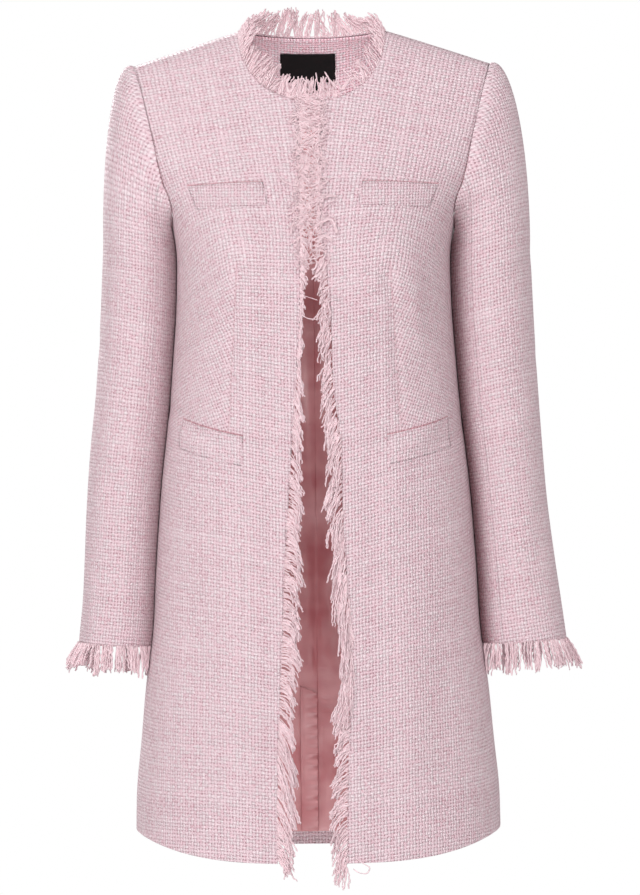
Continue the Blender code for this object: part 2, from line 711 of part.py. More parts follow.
def build_neck_fringe():
    """One trim all round the neck, open only at the front."""
    right_base, right_normal = neckline_half("right")
    left_base, left_normal = neckline_half("left")
    base = np.concatenate((right_base, left_base[::-1][1:]))
    normal = np.concatenate((right_normal, left_normal[::-1][1:]))
    away = away_from_cloth(base, normal, base * np.array(OUTSIDE_NECK) - np.array(BELOW_NECK))
    reach = unit(away + np.array((0.0, 0.0, NECK_FRINGE_LIFT))) * NECK_FRINGE_REACH
    return build_fringe("neck_fringe", base, normal, reach)


def build_front_fringe(side):
    """The trim down one front edge, with the tail that hangs below the hem."""
    level = front_levels(side)[NECK_ROWS["front"]:]
    level[0] += NECK_FRINGE_CLEAR
    angle = angle_at(FRONT_EDGE.at(side, level), level)
    base = body_point(angle, level) + seam_shift(True)
    normal = body_normal(angle, level)
    width = FRONT_EDGE.at(side + "_fringe", level)
    tail = np.linspace(0.0, 1.0, TAIL_ROWS + 1)[1:, None]
    base = np.concatenate((base, base[-1] - tail * np.array((0.0, 0.0, FRINGE_TAIL[side]))))
    normal = np.concatenate((normal, np.repeat(normal[-1:], len(tail), axis=0)))
    width = np.concatenate((width, width[-1] * (1.0 - TAIL_TAPER * tail[:, 0])))
    away = np.cross(normal, unit(np.gradient(base, axis=0)))
    away = unit(away * np.sign(-away[:, :1]))
    reach = away * width[:, None]
    return build_fringe("front_fringe_" + side, mirror_to(side, base), mirror_to(side, normal),
                        mirror_to(side, reach))


def build_cuff_fringe(side):
    """The trim round one cuff, flaring away from the arm."""
    front = armhole_turns(front_levels(side))
    back = armhole_turns(back_levels())
    turn = np.concatenate((front[:-1], 2.0 * math.pi - back[:0:-1]))
    place = np.full(turn.shape, 2.0)
    base = sleeve_point(turn, place, side)
    normal = sleeve_normal(turn, place, side)
    flare = CUFF_FRINGE_FLARE * ((1.0 + np.cos(turn)) / 2.0) ** CUFF_FLARE_POWER
    reach = normal * flare[:, None] - np.array((0.0, 0.0, CUFF_FRINGE_REACH))
    tip = base + reach
    limit = body_half_width(tip[:, 1], -tip[:, 2]) + CUFF_FRINGE_CLEAR
    reach[:, 0] += np.maximum(limit - tip[:, 0], 0.0)
    return build_fringe("cuff_fringe_" + side, mirror_to(side, base), mirror_to(side, normal),
                        mirror_to(side, reach), loop=True)


# ---------------------------------------------------------------- the whole jacket

for old_object in list(bpy.data.objects):
    bpy.data.objects.remove(old_object, do_unlink=True)

COLLECTION = bpy.data.collections.new("long_tweed_jacket")
bpy.context.scene.collection.children.link(COLLECTION)

for garment_side in SIDES:
    build_front(garment_side)
    build_back(garment_side)
    build_sleeve(garment_side)
    build_welt("chest_welt_", garment_side, CHEST_WELT)
    build_welt("hip_welt_", garment_side, HIP_WELT)
    build_lining(garment_side)
    build_front_fringe(garment_side)
    build_cuff_fringe(garment_side)

build_facing()
build_label("neck_label", LABEL_CENTRE, LABEL_WIDTH, LABEL_TOP_DROP, LABEL_HEIGHT, 6)
build_label("size_tab", LABEL_CENTRE, TAB_WIDTH, LABEL_TOP_DROP + LABEL_HEIGHT + SEAM, TAB_HEIGHT, 4)
build_vent_facing()
build_neck_fringe()
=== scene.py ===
# A long collarless jacket in pale pink tweed, open at the front, fringed at neck, edges and cuffs.
# Metres, +Z up.  The front faces -Y and the wearer's left is +X.  The cloth follows the packed
# frame's own form: a level is the drop below the shoulder seam near the top and the drop below the
# neck points lower down, and an angle runs from the centre front (0) over the side to the back.
import math

import bpy
import numpy as np
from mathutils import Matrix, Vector


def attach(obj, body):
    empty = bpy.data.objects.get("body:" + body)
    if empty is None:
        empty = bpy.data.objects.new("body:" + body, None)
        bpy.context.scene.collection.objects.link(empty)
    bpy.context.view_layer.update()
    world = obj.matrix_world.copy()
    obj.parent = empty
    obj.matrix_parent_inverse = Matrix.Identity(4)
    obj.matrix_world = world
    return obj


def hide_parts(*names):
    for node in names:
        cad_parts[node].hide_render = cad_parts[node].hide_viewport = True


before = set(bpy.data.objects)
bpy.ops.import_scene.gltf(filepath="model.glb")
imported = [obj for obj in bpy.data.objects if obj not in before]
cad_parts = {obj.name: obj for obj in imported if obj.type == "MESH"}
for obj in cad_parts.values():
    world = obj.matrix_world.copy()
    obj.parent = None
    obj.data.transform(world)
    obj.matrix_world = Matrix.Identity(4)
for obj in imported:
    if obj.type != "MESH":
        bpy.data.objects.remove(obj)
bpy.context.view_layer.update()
print("frame loaded")


# Sizes of the cut

cloth = {
    "tweedThickness": 0.0020,
    "liningThickness": 0.0010,
    "labelThickness": 0.0008,
    "warpPitch": 0.00344,       # from one yarn to the next
    "weftPitch": 0.00362,
    "seamGap": 0.0003,
    "grid": 0.0040,             # size of the mesh's squares
    "rollDepth": 0.0003,        # edges and seams roll in by this much
    "rollWidth": 0.0030,
    "endColumns": (0.0, 0.12, 0.30, 0.60),      # narrow columns at both ends of a row
    "hemRows": (0.0018, 0.00075, 0.0),          # and rows close above the hem
    "hemBand": 0.003,
}

body = {
    "hemLevel": 0.8795,
    "hemRise": 0.0285,
    "hemRiseFrom": 0.70,
    "hemRisePower": 2.8,
    "shoulderSlope": 0.34,
    "shoulderBend": 0.04,
    "shoulderRound": 0.120,
    "shoulderFade": 0.26,
    "bust": {"fullness": 0.010, "across": 0.085, "level": 0.240, "width": 0.048, "height": 0.062},
    "blade": {"fullness": 0.005, "across": 0.080, "level": 0.150, "width": 0.060, "height": 0.060},
}

neck = {"halfWidth": 0.0787, "depth": 0.0795, "power": 2.15, "backLevel": 0.0174, "backPower": 1.5}

armhole = {"turnLevel": 0.160, "underarmLevel": 0.208}

# How many squares the mesh has along each part of a panel; the small pieces have rows, then columns
counts = {
    "frontNeck": 36, "backNeck": 24, "backShoulder": 40, "underarm": 12,
    "front": 48, "back": 46, "lining": 40, "upperSleeve": 58, "underSleeve": 34,
    "sleeveCap": 40, "arm": 105,
    "welt": (11, 29), "facing": (33, 29), "label": (12, 24), "vent": (159, 12),
}


class SizeTable:
    # rows of sizes with named columns, read at any place along a smooth curve

    def __init__(self, columns, rows):
        values = np.array(rows, dtype=float)
        self.places = values[:, 0]
        self.columns = {name: values[:, index] for index, name in enumerate(columns)}

    def at(self, name, place):
        values = self.columns[name]
        steps = np.diff(self.places)
        rises = np.diff(values) / steps
        slopes = np.zeros(len(values))
        slopes[0] = rises[0]
        slopes[-1] = rises[-1]
        weight = steps[1:] / (steps[:-1] + steps[1:])
        slopes[1:-1] = rises[:-1] * weight + rises[1:] * (1.0 - weight)
        place = np.clip(place, self.places[0], self.places[-1])
        row = np.clip(np.searchsorted(self.places, place, side="right") - 1, 0, len(steps) - 1)
        step = steps[row]
        part = (place - self.places[row]) / step
        square = part * part
        cube = square * part
        return (values[row] * (2.0 * cube - 3.0 * square + 1.0)
                + values[row + 1] * (3.0 * square - 2.0 * cube)
                + slopes[row] * step * (cube - 2.0 * square + part)
                + slopes[row + 1] * step * (cube - square))


bodySections = SizeTable(
    ("level", "halfWidth", "frontDepth", "backDepth", "squareness"),
    (
        (0.000, 0.2320, 0.050, 0.100, 3.20),
        (0.050, 0.2140, 0.058, 0.106, 3.10),
        (0.100, 0.1940, 0.075, 0.112, 3.00),
        (0.150, 0.1735, 0.096, 0.115, 2.80),
        (0.200, 0.1528, 0.117, 0.114, 2.65),
        (0.230, 0.1470, 0.126, 0.110, 2.55),
        (0.275, 0.1463, 0.128, 0.103, 2.50),
        (0.355, 0.1513, 0.121, 0.095, 2.40),
        (0.400, 0.1550, 0.118, 0.094, 2.40),
        (0.480, 0.1640, 0.119, 0.102, 2.40),
        (0.565, 0.1707, 0.124, 0.112, 2.40),
        (0.650, 0.1762, 0.129, 0.118, 2.40),
        (0.695, 0.1825, 0.131, 0.120, 2.40),
        (0.770, 0.1887, 0.134, 0.123, 2.40),
        (0.835, 0.1936, 0.136, 0.125, 2.40),
        (0.880, 0.1946, 0.137, 0.126, 2.40),
    ),
)

armholeLine = SizeTable(
    ("level", "front", "back"),
    (
        (0.000, 0.1905, 0.1905),
        (0.028, 0.1830, 0.1860),
        (0.060, 0.1765, 0.1815),
        (0.100, 0.1690, 0.1760),
        (0.134, 0.1635, 0.1705),
        (0.160, 0.1580, 0.1620),
    ),
)

# How far each front edge hangs from the centre, and how far its fringe reaches over the opening
frontEdge = SizeTable(
    ("drop", "right", "left", "rightFringe", "leftFringe"),
    (
        (0.079, 0.0120, 0.0084, 0.0100, 0.0080),
        (0.219, 0.0132, 0.0072, 0.0098, 0.0085),
        (0.279, 0.0135, 0.0150, 0.0083, 0.0146),
        (0.333, 0.0157, 0.0183, 0.0063, 0.0142),
        (0.386, 0.0193, 0.0200, 0.0104, 0.0138),
        (0.426, 0.0228, 0.0255, 0.0130, 0.0180),
        (0.519, 0.0292, 0.0287, 0.0150, 0.0178),
        (0.606, 0.0343, 0.0330, 0.0170, 0.0165),
        (0.647, 0.0358, 0.0352, 0.0170, 0.0140),
        (0.717, 0.0389, 0.0338, 0.0167, 0.0135),
        (0.754, 0.0407, 0.0327, 0.0172, 0.0145),
        (0.860, 0.0426, 0.0300, 0.0190, 0.0175),
        (0.8795, 0.0428, 0.0300, 0.0190, 0.0175),
    ),
)

sleeveSections = SizeTable(
    ("drop", "left", "right", "leftDepth", "rightDepth", "middle"),
    (
        (0.235, 0.2325, 0.2257, 0.0640, 0.0650, 0.0140),
        (0.310, 0.2355, 0.2292, 0.0615, 0.0630, 0.0130),
        (0.393, 0.2398, 0.2351, 0.0580, 0.0590, 0.0110),
        (0.436, 0.2426, 0.2398, 0.0560, 0.0565, 0.0095),
        (0.500, 0.2475, 0.2447, 0.0525, 0.0530, 0.0065),
        (0.565, 0.2551, 0.2476, 0.0480, 0.0495, 0.0025),
        (0.610, 0.2612, 0.2500, 0.0450, 0.0470, -0.0010),
        (0.655, 0.2672, 0.2545, 0.0420, 0.0450, -0.0040),
    ),
)

sides = {"left": 1.0, "right": -1.0}
mirrors = {side: np.array((sign, 1.0, 1.0)) for side, sign in sides.items()}


# The body's form

def pointsOf(across, along, up):
    across, along, up = np.broadcast_arrays(across, along, up)
    return np.stack((across, along, up), axis=-1).astype(float)


def unit(vectors):
    return vectors / np.maximum(np.linalg.norm(vectors, axis=-1, keepdims=True), 1e-12)


def ease(part):
    part = np.clip(part, 0.0, 1.0)
    return part * part * (3.0 - 2.0 * part)


def runLength(points, axis=0):
    # the length travelled along one way of a grid of points, from 0
    travelled = np.cumsum(np.linalg.norm(np.diff(points, axis=axis), axis=-1), axis=axis)
    return np.concatenate((np.zeros_like(np.take(travelled, [0], axis=axis)), travelled), axis=axis)


def shoulderDrop(across, level):
    bend = body["shoulderBend"]
    slopeLength = np.hypot(across, bend) - math.hypot(neck["halfWidth"], bend)
    return body["shoulderSlope"] * slopeLength * (1.0 - ease(level / body["shoulderFade"]))


def levelAt(across, drop):
    level = np.maximum(drop, 0.0)
    for _ in range(30):
        level = np.maximum(drop - shoulderDrop(across, level), 0.0)
    return level


def angleAt(across, level):
    share = np.clip(across / bodySections.at("halfWidth", level), 0.0, 1.0)
    return np.arcsin(share ** (bodySections.at("squareness", level) / 2.0))


def fullnessAt(part, across, level):
    return part["fullness"] * np.exp(-((np.abs(across) - part["across"]) / part["width"]) ** 2
                                     - ((level - part["level"]) / part["height"]) ** 2)


def bodyDepth(inFront, level):
    return np.where(inFront, bodySections.at("frontDepth", level), bodySections.at("backDepth", level))


def bodyPoint(angle, level):
    exponent = 2.0 / bodySections.at("squareness", level)
    sine = np.sin(angle)
    cosine = np.cos(angle)
    across = bodySections.at("halfWidth", level) * np.sign(sine) * np.abs(sine) ** exponent
    along = -bodyDepth(cosine >= 0.0, level) * np.sign(cosine) * np.abs(cosine) ** exponent
    height = np.clip(level / body["shoulderRound"], 0.0, 1.0)
    along = along * np.sqrt(1.0 - (1.0 - height) ** 2)
    along = along - fullnessAt(body["bust"], across, level) * np.clip(cosine, 0.0, 1.0)
    along = along + fullnessAt(body["blade"], across, level) * np.clip(-cosine, 0.0, 1.0)
    hemPart = (level - body["hemRiseFrom"]) / (body["hemLevel"] - body["hemRiseFrom"])
    lift = body["hemRise"] * np.abs(sine) ** body["hemRisePower"] * ease(hemPart)
    return pointsOf(across, along, lift - level - shoulderDrop(across, level))


def bodyNormal(angle, level):
    # the level is stepped by its root, because the shoulder is infinitely steep at its seam
    step = 1e-4
    root = np.sqrt(np.maximum(level, 0.0))
    low = np.maximum(root - step, 0.0)
    high = root + step
    down = bodyPoint(angle, high * high) - bodyPoint(angle, low * low)
    roundWay = bodyPoint(angle + step, level) - bodyPoint(angle - step, level)
    atSeam = np.broadcast_to((root < step)[..., None], down.shape)
    flatWay = pointsOf(np.zeros_like(down[..., 0]), np.where(np.cos(angle) >= 0.0, -1.0, 1.0), 0.0)
    return unit(np.cross(np.where(atSeam, flatWay, down), roundWay))


def bodyHalfWidth(along, drop):
    power = bodySections.at("squareness", drop)
    share = np.clip(np.abs(along) / bodyDepth(along < 0.0, drop), 0.0, 1.0)
    return bodySections.at("halfWidth", drop) * (1.0 - share ** power) ** (1.0 / power)


def frontNeckline(across):
    share = np.clip(across / neck["halfWidth"], 0.0, 1.0)
    return levelAt(across, neck["depth"] * (1.0 - share ** neck["power"]) ** (1.0 / neck["power"]))


def angleInBack(across, level):
    return math.pi - np.sign(across) * angleAt(np.abs(across), level)


def backNeckline(across):
    share = np.clip(across / neck["halfWidth"], 0.0, 1.0)
    return neck["backLevel"] * (1.0 - share ** 2) ** neck["backPower"]


def armholeAngle(level, part):
    turnLevel = armhole["turnLevel"]
    straight = angleAt(armholeLine.at(part, level), level)
    turnStart = float(angleAt(armholeLine.at(part, turnLevel), turnLevel))
    turn = np.clip((level - turnLevel) / (armhole["underarmLevel"] - turnLevel), 0.0, 1.0)
    curved = turnStart + (math.pi / 2.0 - turnStart) * (1.0 - np.sqrt(1.0 - turn * turn))
    return np.where(level < turnLevel, straight, curved)


# Soft creases, listed one by one.  Each runs from one place to another, as (across, drop), where across
# is the distance from the centre as seen from the front, and its depth is negative for a trough.

creaseEnds = {"from": 0.12, "run": 0.76, "power": 0.8, "reach": 1.6}       # how a crease fades out


class Crease:

    def __init__(self, start, end, width, depth):
        self.start = np.array(start)
        self.end = np.array(end)
        self.width = width
        self.depth = depth

    def height(self, across, drop):
        run = self.end - self.start
        length = float(np.hypot(*run))
        way = run / length
        offset = np.stack((across - self.start[0], drop - self.start[1]), axis=-1)
        alongRun = offset @ way
        aside = offset @ np.array((-way[1], way[0]))
        middle = np.clip(alongRun / length, 0.0, 1.0)
        beyond = alongRun - middle * length
        fade = np.sin(math.pi * (creaseEnds["from"] + creaseEnds["run"] * middle)) ** creaseEnds["power"]
        reach = self.width * creaseEnds["reach"]
        return self.depth * fade * np.exp(-(aside / self.width) ** 2 - (beyond / reach) ** 2)


frontCreases = {
    "right": (
        Crease((0.150, 0.405), (0.092, 0.452), 0.0075, -0.0019),
        Crease((0.146, 0.425), (0.104, 0.463), 0.0085, 0.0013),
        Crease((0.128, 0.610), (0.106, 0.760), 0.0190, -0.0030),
        Crease((0.104, 0.640), (0.082, 0.830), 0.0240, 0.0016),
        Crease((0.062, 0.300), (0.098, 0.350), 0.0150, -0.0014),
        Crease((0.070, 0.500), (0.060, 0.700), 0.0260, -0.0012),
        Crease((0.118, 0.300), (0.108, 0.420), 0.0170, 0.0012),
    ),
    "left": (
        Crease((0.100, 0.250), (0.108, 0.330), 0.0110, 0.0034),
        Crease((0.064, 0.270), (0.070, 0.420), 0.0160, 0.0012),
        Crease((0.138, 0.408), (0.094, 0.446), 0.0080, 0.0016),
        Crease((0.147, 0.430), (0.108, 0.462), 0.0080, -0.0015),
        Crease((0.100, 0.430), (0.062, 0.560), 0.0190, 0.0020),
        Crease((0.062, 0.470), (0.052, 0.620), 0.0170, -0.0018),
        Crease((0.140, 0.600), (0.126, 0.800), 0.0240, -0.0026),
        Crease((0.096, 0.620), (0.098, 0.850), 0.0260, 0.0018),
        Crease((0.060, 0.800), (0.100, 0.850), 0.0120, -0.0010),
    ),
}

backCreases = {
    "right": (
        Crease((0.148, 0.330), (0.060, 0.372), 0.0130, -0.0022),
        Crease((0.140, 0.372), (0.070, 0.400), 0.0120, 0.0014),
        Crease((0.086, 0.200), (0.120, 0.320), 0.0190, -0.0014),
        Crease((0.120, 0.560), (0.110, 0.860), 0.0260, -0.0034),
        Crease((0.070, 0.600), (0.060, 0.870), 0.0240, 0.0022),
    ),
    "left": (
        Crease((0.146, 0.346), (0.074, 0.366), 0.0120, -0.0018),
        Crease((0.132, 0.300), (0.080, 0.332), 0.0140, 0.0014),
        Crease((0.094, 0.180), (0.116, 0.300), 0.0180, -0.0012),
        Crease((0.136, 0.600), (0.126, 0.860), 0.0240, -0.0028),
        Crease((0.088, 0.560), (0.082, 0.840), 0.0270, 0.0020),
    ),
}

# On a sleeve, across is the turn round the arm in radians (0 outside, then front) times its radius
sleeveCreases = {
    "right": (
        Crease((0.010, 0.220), (0.070, 0.262), 0.0090, -0.0013),
        Crease((0.000, 0.330), (0.060, 0.352), 0.0100, -0.0012),
        Crease((0.020, 0.372), (0.080, 0.392), 0.0090, 0.0009),
        Crease((0.030, 0.440), (0.078, 0.500), 0.0120, -0.0013),
        Crease((0.020, 0.540), (0.050, 0.640), 0.0130, 0.0012),
        Crease((-0.060, 0.330), (-0.020, 0.372), 0.0110, -0.0016),
        Crease((-0.070, 0.410), (-0.030, 0.402), 0.0100, 0.0012),
    ),
    "left": (
        Crease((0.004, 0.240), (0.064, 0.270), 0.0100, -0.0012),
        Crease((0.010, 0.352), (0.072, 0.366), 0.0090, -0.0012),
        Crease((0.022, 0.398), (0.070, 0.430), 0.0100, 0.0010),
        Crease((0.030, 0.500), (0.060, 0.590), 0.0130, -0.0012),
        Crease((-0.064, 0.350), (-0.022, 0.378), 0.0110, -0.0016),
        Crease((-0.060, 0.450), (-0.026, 0.430), 0.0120, 0.0012),
    ),
}


def creaseHeight(creases, across, drop):
    height = np.zeros(np.broadcast(across, drop).shape)
    for crease in creases:
        height = height + crease.height(across, drop)
    return height


def foldedHeight(creases, folds, across, drop):
    # creases move the cloth both ways, and folds only lead inwards
    return creaseHeight(creases, across, drop) + np.minimum(creaseHeight(folds, across, drop), 0.0)


# Meshes

def newMesh(name, points, quads, coords=None):
    mesh = bpy.data.meshes.new(name)
    mesh.vertices.add(len(points))
    mesh.vertices.foreach_set("co", np.ascontiguousarray(points, dtype=np.float32).ravel())
    mesh.loops.add(quads.size)
    mesh.loops.foreach_set("vertex_index", np.ascontiguousarray(quads, dtype=np.int32).ravel())
    mesh.polygons.add(len(quads))
    mesh.polygons.foreach_set("loop_start", np.arange(0, quads.size, 4, dtype=np.int32))
    mesh.update(calc_edges=True)
    if coords is not None:
        layer = mesh.uv_layers.new(name="Cloth")
        layer.uv.foreach_set("vector", np.ascontiguousarray(coords, dtype=np.float32).ravel())
    mesh.shade_smooth()
    piece = bpy.data.objects.new(name, mesh)
    bpy.context.scene.collection.objects.link(piece)
    return piece


def gridQuads(rows, columns, loop=False):
    # corner indices of every square: here, one row down, one row and column on, one column on
    spans = columns if loop else columns - 1
    row, column = np.meshgrid(np.arange(rows - 1), np.arange(spans), indexing="ij")
    beside = (column + 1) % columns
    return np.stack((row * columns + column, (row + 1) * columns + column,
                     (row + 1) * columns + beside, row * columns + beside), axis=-1)


def edgeRing(rows, columns):
    # indices round the border of a grid, in order
    top = np.arange(columns)
    right = np.arange(1, rows) * columns + columns - 1
    bottom = (rows - 1) * columns + np.arange(columns - 2, -1, -1)
    left = np.arange(rows - 2, 0, -1) * columns
    return np.concatenate((top, right, bottom, left))


def rolledIn(outer, normal, depth, width):
    # every border of a panel rolls in softly, as a seam or a turned edge does
    rows, columns = outer.shape[:2]
    flat = outer.reshape(-1, 3)
    ring = flat[edgeRing(rows, columns)]
    away = np.full(len(flat), np.inf)
    batch = 2000
    for first in range(0, len(flat), batch):
        part = flat[first:first + batch]
        away[first:first + batch] = np.sqrt(
            ((part[:, None, :] - ring[None, :, :]) ** 2).sum(axis=-1).min(axis=1))
    near = (1.0 - np.clip(away / width, 0.0, 1.0)).reshape(rows, columns, 1)
    return outer - normal * depth * near * near


def clothPiece(name, outer, normal, thickness, coords, mirrored=False, turnedCoords=None,
               turnedFaces=None, marks=None):
    # a closed wall of cloth: outer face, inner face and the rims between them
    rows, columns = outer.shape[:2]
    count = rows * columns
    inner = outer - normal * thickness
    points = np.concatenate((outer.reshape(count, 3), inner.reshape(count, 3)))
    squares = gridQuads(rows, columns)
    corners = squares.reshape(-1, 4)
    flatCoords = coords.reshape(count, 2)
    faceCoords = flatCoords[corners]
    if turnedCoords is not None:
        beyond = turnedFaces.reshape(-1, 1, 1)
        faceCoords = np.where(beyond, turnedCoords.reshape(count, 2)[corners], faceCoords)
    ring = edgeRing(rows, columns)
    onward = np.roll(ring, -1)
    rim = np.stack((ring, onward, onward + count, ring + count), axis=-1)
    rimCoords = flatCoords[np.stack((ring, onward, onward, ring), axis=-1)]
    faces = np.concatenate((corners, corners[:, ::-1] + count, rim))
    allCoords = np.concatenate((faceCoords, faceCoords[:, ::-1], rimCoords))
    if mirrored:
        faces = faces[:, ::-1]
        allCoords = allCoords[:, ::-1]
    piece = newMesh(name, points, faces, allCoords)
    for layerName, values in (marks or {}).items():
        layer = piece.data.uv_layers.new(name=layerName)
        values = np.tile(values.reshape(count, 2), (2, 1))[faces]
        layer.uv.foreach_set("vector", values.astype(np.float32).ravel())
    smooth = np.ones(len(faces), dtype=bool)
    smooth[2 * len(corners):] = False
    piece.data.polygons.foreach_set("use_smooth", smooth)
    piece["clothArea"] = sheetArea(outer)
    return piece


def sheetArea(outer):
    across = outer[:-1, 1:] - outer[:-1, :-1]
    down = outer[1:, :-1] - outer[:-1, :-1]
    return float(np.linalg.norm(np.cross(across, down), axis=-1).sum())


def bodySheet(name, angle, level, depth, thickness, side="left", creases=(), roll=True, folds=(),
              turnedPart=None, marks=None):
    # a piece that follows the body's form, its face lying depth inside it
    normal = bodyNormal(angle, level)
    outer = bodyPoint(angle, level) - normal * depth
    outer = outer + normal * foldedHeight(creases, folds, np.abs(outer[..., 0]), -outer[..., 2])[..., None]
    if roll:
        outer = rolledIn(outer, normal, cloth["rollDepth"], cloth["rollWidth"])
    front = bool(np.cos(angle).mean() > 0.0)
    coords = clothCoords(angle, level, side if front else "back")
    turned = turnedPart(coords, np.abs(outer[..., 0]), -outer[..., 2]) if turnedPart else (None, None)
    marks = marks(angle, np.abs(outer[..., 0]), -outer[..., 2]) if marks else None
    mirror = mirrors[side]
    flip = (side == "right") == front
    return clothPiece(name, outer * mirror, normal * mirror, thickness, coords, flip, *turned, marks)


girthAngles = np.linspace(0.0, math.pi, 721)
girthLevels = np.concatenate((np.linspace(0.0, 0.35, 15) ** 2, np.linspace(0.1225, 0.88, 60)[1:]))
girthPoints = bodyPoint(*np.meshgrid(girthAngles, girthLevels))
chestDrop = 0.200               # lengths down the cloth are counted from here
grainLine = 0.062               # the weave runs true along this line, from the centre

# Lengths of cloth at every angle and level: round the body from the centre front, and down it
girthTable = runLength(girthPoints[..., :2], axis=1)
fallTable = runLength(girthPoints[..., 1:])
chestFall = np.array([np.interp(chestDrop, -girthPoints[:, column, 2], fallTable[:, column])
                      for column in range(len(girthAngles))])
fallTable = fallTable - chestFall[None, :] + chestDrop


def readTable(table, angle, level):
    angle, level = np.broadcast_arrays(angle, level)
    column = np.clip(angle / (girthAngles[1] - girthAngles[0]), 0.0, len(girthAngles) - 1.001)
    row = np.clip(np.searchsorted(girthLevels, level, side="right") - 1, 0, len(girthLevels) - 2)
    rowPart = np.clip((level - girthLevels[row]) / (girthLevels[row + 1] - girthLevels[row]), 0.0, 1.0)
    left = column.astype(int)
    columnPart = column - left
    top = table[row, left] * (1.0 - columnPart) + table[row, left + 1] * columnPart
    bottom = table[row + 1, left] * (1.0 - columnPart) + table[row + 1, left + 1] * columnPart
    return top * (1.0 - rowPart) + bottom * rowPart


# How much the weft drops towards the centre, as a slope
weftSlope = SizeTable(
    ("level", "right", "left", "back"),
    (
        (0.00, 0.02, -0.04, 0.0),
        (0.12, 0.01, -0.04, 0.0),
        (0.23, 0.03, 0.10, 0.02),
        (0.30, 0.05, 0.14, 0.03),
        (0.36, 0.13, 0.18, 0.03),
        (0.46, 0.17, 0.23, 0.04),
        (0.62, 0.14, 0.19, 0.05),
        (0.74, 0.08, 0.14, 0.05),
        (0.88, 0.06, 0.11, 0.04),
    ),
)


def clothCoords(angle, level, weft):
    # where each point lies on the flat cloth, in metres across and down the weave
    straight = angleAt(np.full(np.shape(level), grainLine), level)
    straight = np.where(np.cos(angle) >= 0.0, straight, math.pi - straight)
    across = readTable(girthTable, angle, level) - readTable(girthTable, straight, level)
    fall = readTable(fallTable, angle, level) + weftSlope.at(weft, level) * across
    return np.stack((across, fall), axis=-1)


def spacedColumns(innerAngle, outerAngle, levels, count, breakAngle=None, breakShare=0.5):
    # rows at the given levels, each divided into even lengths of cloth, with narrow ones at its ends
    narrow = np.array(cloth["endColumns"]) / count
    columns = np.unique(np.concatenate((narrow, shares(count)[1:-1], 1.0 - narrow)))
    least = 0.02                    # share of a row that either side of the break keeps
    angles = []
    for row, (inner, outer, level) in enumerate(zip(innerAngle, outerAngle, levels)):
        fine = np.linspace(inner, outer, 400)
        points = bodyPoint(fine, np.full(fine.shape, level))
        travelled = runLength(points)
        if breakAngle is None:
            angles.append(np.interp(columns * travelled[-1], travelled, fine))
            continue
        middle = float(np.interp(breakAngle[row], fine, travelled)) if outer > inner else 0.0
        middle = min(max(middle, least * travelled[-1]), (1.0 - least) * travelled[-1])
        firstCount = round(count * breakShare)
        first = np.linspace(0.0, middle, firstCount + 1)
        second = np.linspace(middle, travelled[-1], count - firstCount + 1)[1:]
        angles.append(np.interp(np.concatenate((first, second)), travelled, fine))
    angle = np.array(angles)
    return angle, np.asarray(levels)[:, None] * np.ones_like(angle)


def shares(count):
    return np.linspace(0.0, 1.0, count + 1)


def levelSteps(first, last, spacing=None):
    count = max(int(round((last - first) / (spacing or cloth["grid"]))), 2)
    return np.linspace(first, last, count + 1)[1:]


def rootSteps(first, last, count):
    # levels that crowd towards the shoulder seam, where the cloth turns over
    return np.linspace(math.sqrt(first), math.sqrt(last), count + 1)[1:] ** 2


# Finishes

class Socket:
    # one value of a material, which takes part in sums

    def __init__(self, finish, link):
        self.finish = finish
        self.link = link

    def __add__(self, other):
        return self.finish.maths("ADD", self, other)

    def __sub__(self, other):
        return self.finish.maths("SUBTRACT", self, other)

    def __rsub__(self, other):
        return self.finish.maths("SUBTRACT", other, self)

    def __mul__(self, other):
        return self.finish.maths("MULTIPLY", self, other)

    def __truediv__(self, other):
        return self.finish.maths("DIVIDE", self, other)

    def __pow__(self, other):
        return self.finish.maths("POWER", self, other)

    __radd__ = __add__
    __rmul__ = __mul__


